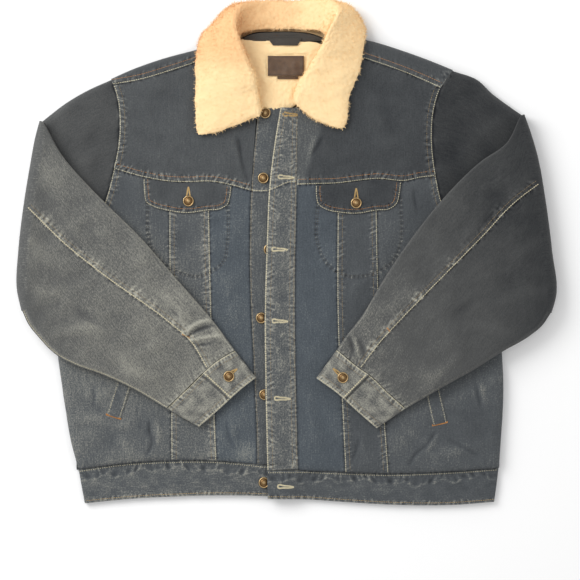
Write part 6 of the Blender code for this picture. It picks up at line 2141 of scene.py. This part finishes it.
def buttonhole(colour, middle, along, length, trees, gap=1.2, side=2.6):
    """A keyhole of close threads round a slit: a round eye at its start, then a pointed tail."""
    middle, along = np.array(middle, float), np.array(along, float)
    along = along / norm(along)
    half, tail = length / 2, (gap + side) / 2
    outline = [
        (half, 0.0), (half - 5.0, tail * 0.6), (7.0 - half, tail * 1.05), (3.4 - half, tail * 1.4),
        (1.0 - half, tail * 1.2), (-half, 0.0)]
    loop = np.array(outline + [(u, -v) for u, v in outline[-2::-1]])
    path = Line(middle + loop[:, :1] * along + loop[:, 1:] * left_of(along))
    at = middles(int(path.length / HOLE_PITCH))
    spots, ahead = path.at(at), path.at(at + 0.006) - path.at(at - 0.006)
    out = left_of(ahead) / norm(ahead, axis=1)[:, None]
    # a wider tan layer under the buttonhole's threads: partly tan thread, partly painted shade round its
    # edge
    for thread, reach, sink in (("tan", side / 2 + 0.6, 0.3), (colour, side / 2, 0.0)):
        lay(thread, spots - out * reach, spots + out * reach, trees, sink=sink)
    # a dark thread along the slit stands for the shade inside it: painted shade
    slit = np.array([middle - along * (half - 1.0)]), np.array([middle + along * (half - 3.0)])
    lay("dark", *slit, trees, gap * 0.9, sink=0.15)


def sewn_so_far():
    return {colour: sum(len(part[0]) for part in parts) for colour, parts in SEWING.items()}


# %% Rows on the body
SEAM_ROWS = (
    # seam, colours of its rows, pieces that they lie on
    ("v1", "cream tan", "front_middle"), ("v2", "cream tan", "front_middle"),
    ("yoke", "cream rust", "front_yoke"), ("shoulder", "cream rust", "back_yoke"),
    ("armhole", "cream tan", "front_side front_yoke"), ("waist", "cream", "waistband_front"),
    ("hem", "gold", "waistband_front"), ("pocket", "dark dark", "front_side front_middle front_center"),
    ("flap", "cream rust", "pocket_flap"))
ROW_THREADS = {"cream": EDGE_THREAD, "dark": 1.3}
LOOSE_STITCH = 3.9       # the pocket bags' stitches
LOOSE_GAP = 0.45

for side in ("R", "L"):
    for name, colours, pieces in SEAM_ROWS:
        seam = SEAMS[f"{name}_{side}"]
        trees = trees_of(*(p if p == "back_yoke" else f"{p}_{side}" for p in pieces.split()))
        for colour, offset in zip(colours.split(), seam.rows):
            row(colour, seam.line, offset * seam.lap, trees,
                pitch=LOOSE_STITCH if name == "pocket" else STITCH,
                width=ROW_THREADS.get(colour, THREAD),
                gap=LOOSE_GAP if name in ("pocket", "waist") else 0.2)
    start, end, along, across = welt_frame(side)
    welt = trees_of(f"welt_{side}")
    for offset in (-9.0, 9.0):
        row("cream", Line([start, end]), offset, welt)
    for spot in (start, end):
        tack("rust", spot - across * 12.5, spot + across * 12.5,
             welt + trees_of(f"front_side_{side}"), 3.4)
row("tan", C_R, 1.8, trees_of("button_stand"))
placket = trees_of("placket")
row("cream", PLACKET_EDGE, 1.6, placket, width=BOLD_THREAD, gap=0.1)
for line, offset in ((PLACKET_EDGE, 9.0), (C_L, -1.8), (C_L, -8.0)):
    row("tan", line, offset, placket)
row("cream", YOKE_JOIN, 1.4, placket + trees_of("button_stand"), width=EDGE_THREAD)
print("stitches so far", sewn_so_far())

# %% Buttonholes, bar tacks and the sleeves' rows
HOLES = [
    # x, y, colour, piece
    (7, 212, "gold", "placket"), (0, 115, "cream", "placket"), (-10, 3, "cream", "placket"),
    (-10, -108, "cream", "placket"), (-6, -228, "cream", "placket"),
    (-1, -365, "cream", "waistband_front_L")]
for x, y, colour, piece in HOLES:
    buttonhole(colour, (x, y), (1.0, -0.05), 25.0, trees_of(piece), 0.9, 3.0)
for x, y, side in ((-152, 91, "R"), (108, 89, "L")):
    buttonhole("gold", (x, y), (0.0, 1.0), 18.0, trees_of(f"pocket_flap_{side}"))

CUFF_HOLES = {"R": ((-94, -193), (-75, -181)), "L": ((87, -194), (72, -181))}
TACKS = {"R": ((-161, -128), (-149, -134)), "L": ((155, -118), (160, -124))}
TAB_END = 0.44           # share across the cuff at which its tab ends
for side, part in SLEEVES.items():
    sleeve = trees_of(f"top_sleeve_{side}", f"under_sleeve_{side}")
    cuff = trees_of(f"cuff_{side}")
    seam = SEAMS[f"sleeve_{side}"]
    row("cream", seam.line, seam.rows[0] * seam.lap, sleeve, width=2.0 if side == "R" else 1.5,
        gap=0.1)
    if side == "R":
        row("cream", part["fore_lower"], 2.6, sleeve, width=0.9, gap=0.15)
    row("tan", seam.line, seam.rows[1] * seam.lap, sleeve)
    tack("rust", *TACKS[side], sleeve)
    ahead = 1 if side == "R" else -1
    for line, sign in ((part["cuff_seam"], ahead), (part["cuff_mouth"], -ahead)):
        for colour, offset, width in (("cream", 1.8, 1.3), ("tan", 8.5, THREAD)):
            row(colour, line, offset * sign, cuff, width=width)
    tab = Line([part["cuff_seam"].at(TAB_END), part["cuff_mouth"].at(TAB_END)])
    row("cream", tab, 2.2 * ahead, cuff, width=BOLD_THREAD * 1.3, gap=0.1)
    a, b = (np.array(p, float) for p in CUFF_HOLES[side])
    buttonhole("gold", (a + b) / 2, b - a, 20.0, cuff)
print("all rows", sewn_so_far())

# %% Rows on the back and round the label
back = trees_of("back_panel", "back_yoke", "waistband_back")
for name in ("yoke_back", "waist_back"):
    for offset in SEAMS[name].rows:
        row("gold", SEAMS[name].line, offset * SEAMS[name].lap, back, below=True, width=0.6)
label = trees_of("label")
LABEL_CORNERS = [(-27, 301), (25, 301), (25, 274), (-27, 274), (-27, 301)]
for ends in zip(LABEL_CORNERS, LABEL_CORNERS[1:]):
    row("dark", Line(ends), 0.0, label, pitch=2.6, width=0.6)
for x in (-24, 19):
    tack("dark", (x, 321), (x, 328), trees_of("hanger_loop", "neck_tape"), 3.0)
print("with the back and the label", sewn_so_far())


# %% Every thread as one piece for each colour
def arch():
    """One stitch: a four sided tube along X, 1 long, whose ends dive down."""
    bm = bmesh.new()
    ring = bmesh.ops.create_circle(bm, cap_ends=False, segments=4, radius=0.5)["verts"]
    bmesh.ops.rotate(bm, verts=ring, cent=(0, 0, 0), matrix=Matrix.Rotation(math.pi / 2, 3, "Y"))
    bmesh.ops.translate(bm, verts=ring, vec=(-0.5, 0, 0))
    edges = list(bm.edges)
    for _ in range(3):
        grown = bmesh.ops.extrude_edge_only(bm, edges=edges)["geom"]
        bmesh.ops.translate(
            bm, verts=[v for v in grown if isinstance(v, bmesh.types.BMVert)], vec=(1 / 3, 0, 0))
        edges = [e for e in grown if isinstance(e, bmesh.types.BMEdge)]
    for v in bm.verts:
        rise = 1.0 - (2.0 * v.co.x) ** 2
        v.co.z = v.co.z * 0.8 + 0.62 * rise - 0.42
    bmesh.ops.recalc_face_normals(bm, faces=bm.faces)
    outward = sum((f.calc_center_median() * Vector((0, 1, 1))).dot(f.normal) for f in bm.faces)
    if outward < 0:
        bmesh.ops.reverse_faces(bm, faces=bm.faces)
    bm.verts.index_update()
    return bm


template = arch()
for colour, runs in SEWING.items():
    first, last, width, up = (np.concatenate([run[k] for run in runs]) for k in range(4))
    along = last - first
    side = unit_rows(np.cross(np.array([0.0, 0.0, 1.0]), along))
    rise = unit_rows(np.cross(along, side))
    tall = (width * up * np.where(up < 0, 0.35, 0.8))[:, None]
    frames = np.stack([along, side * (width * up)[:, None], rise * tall], axis=2)
    copies(
        f"stitches_{colour}", template, (first + last) / 2, frames, THREADS[colour])
template.free()
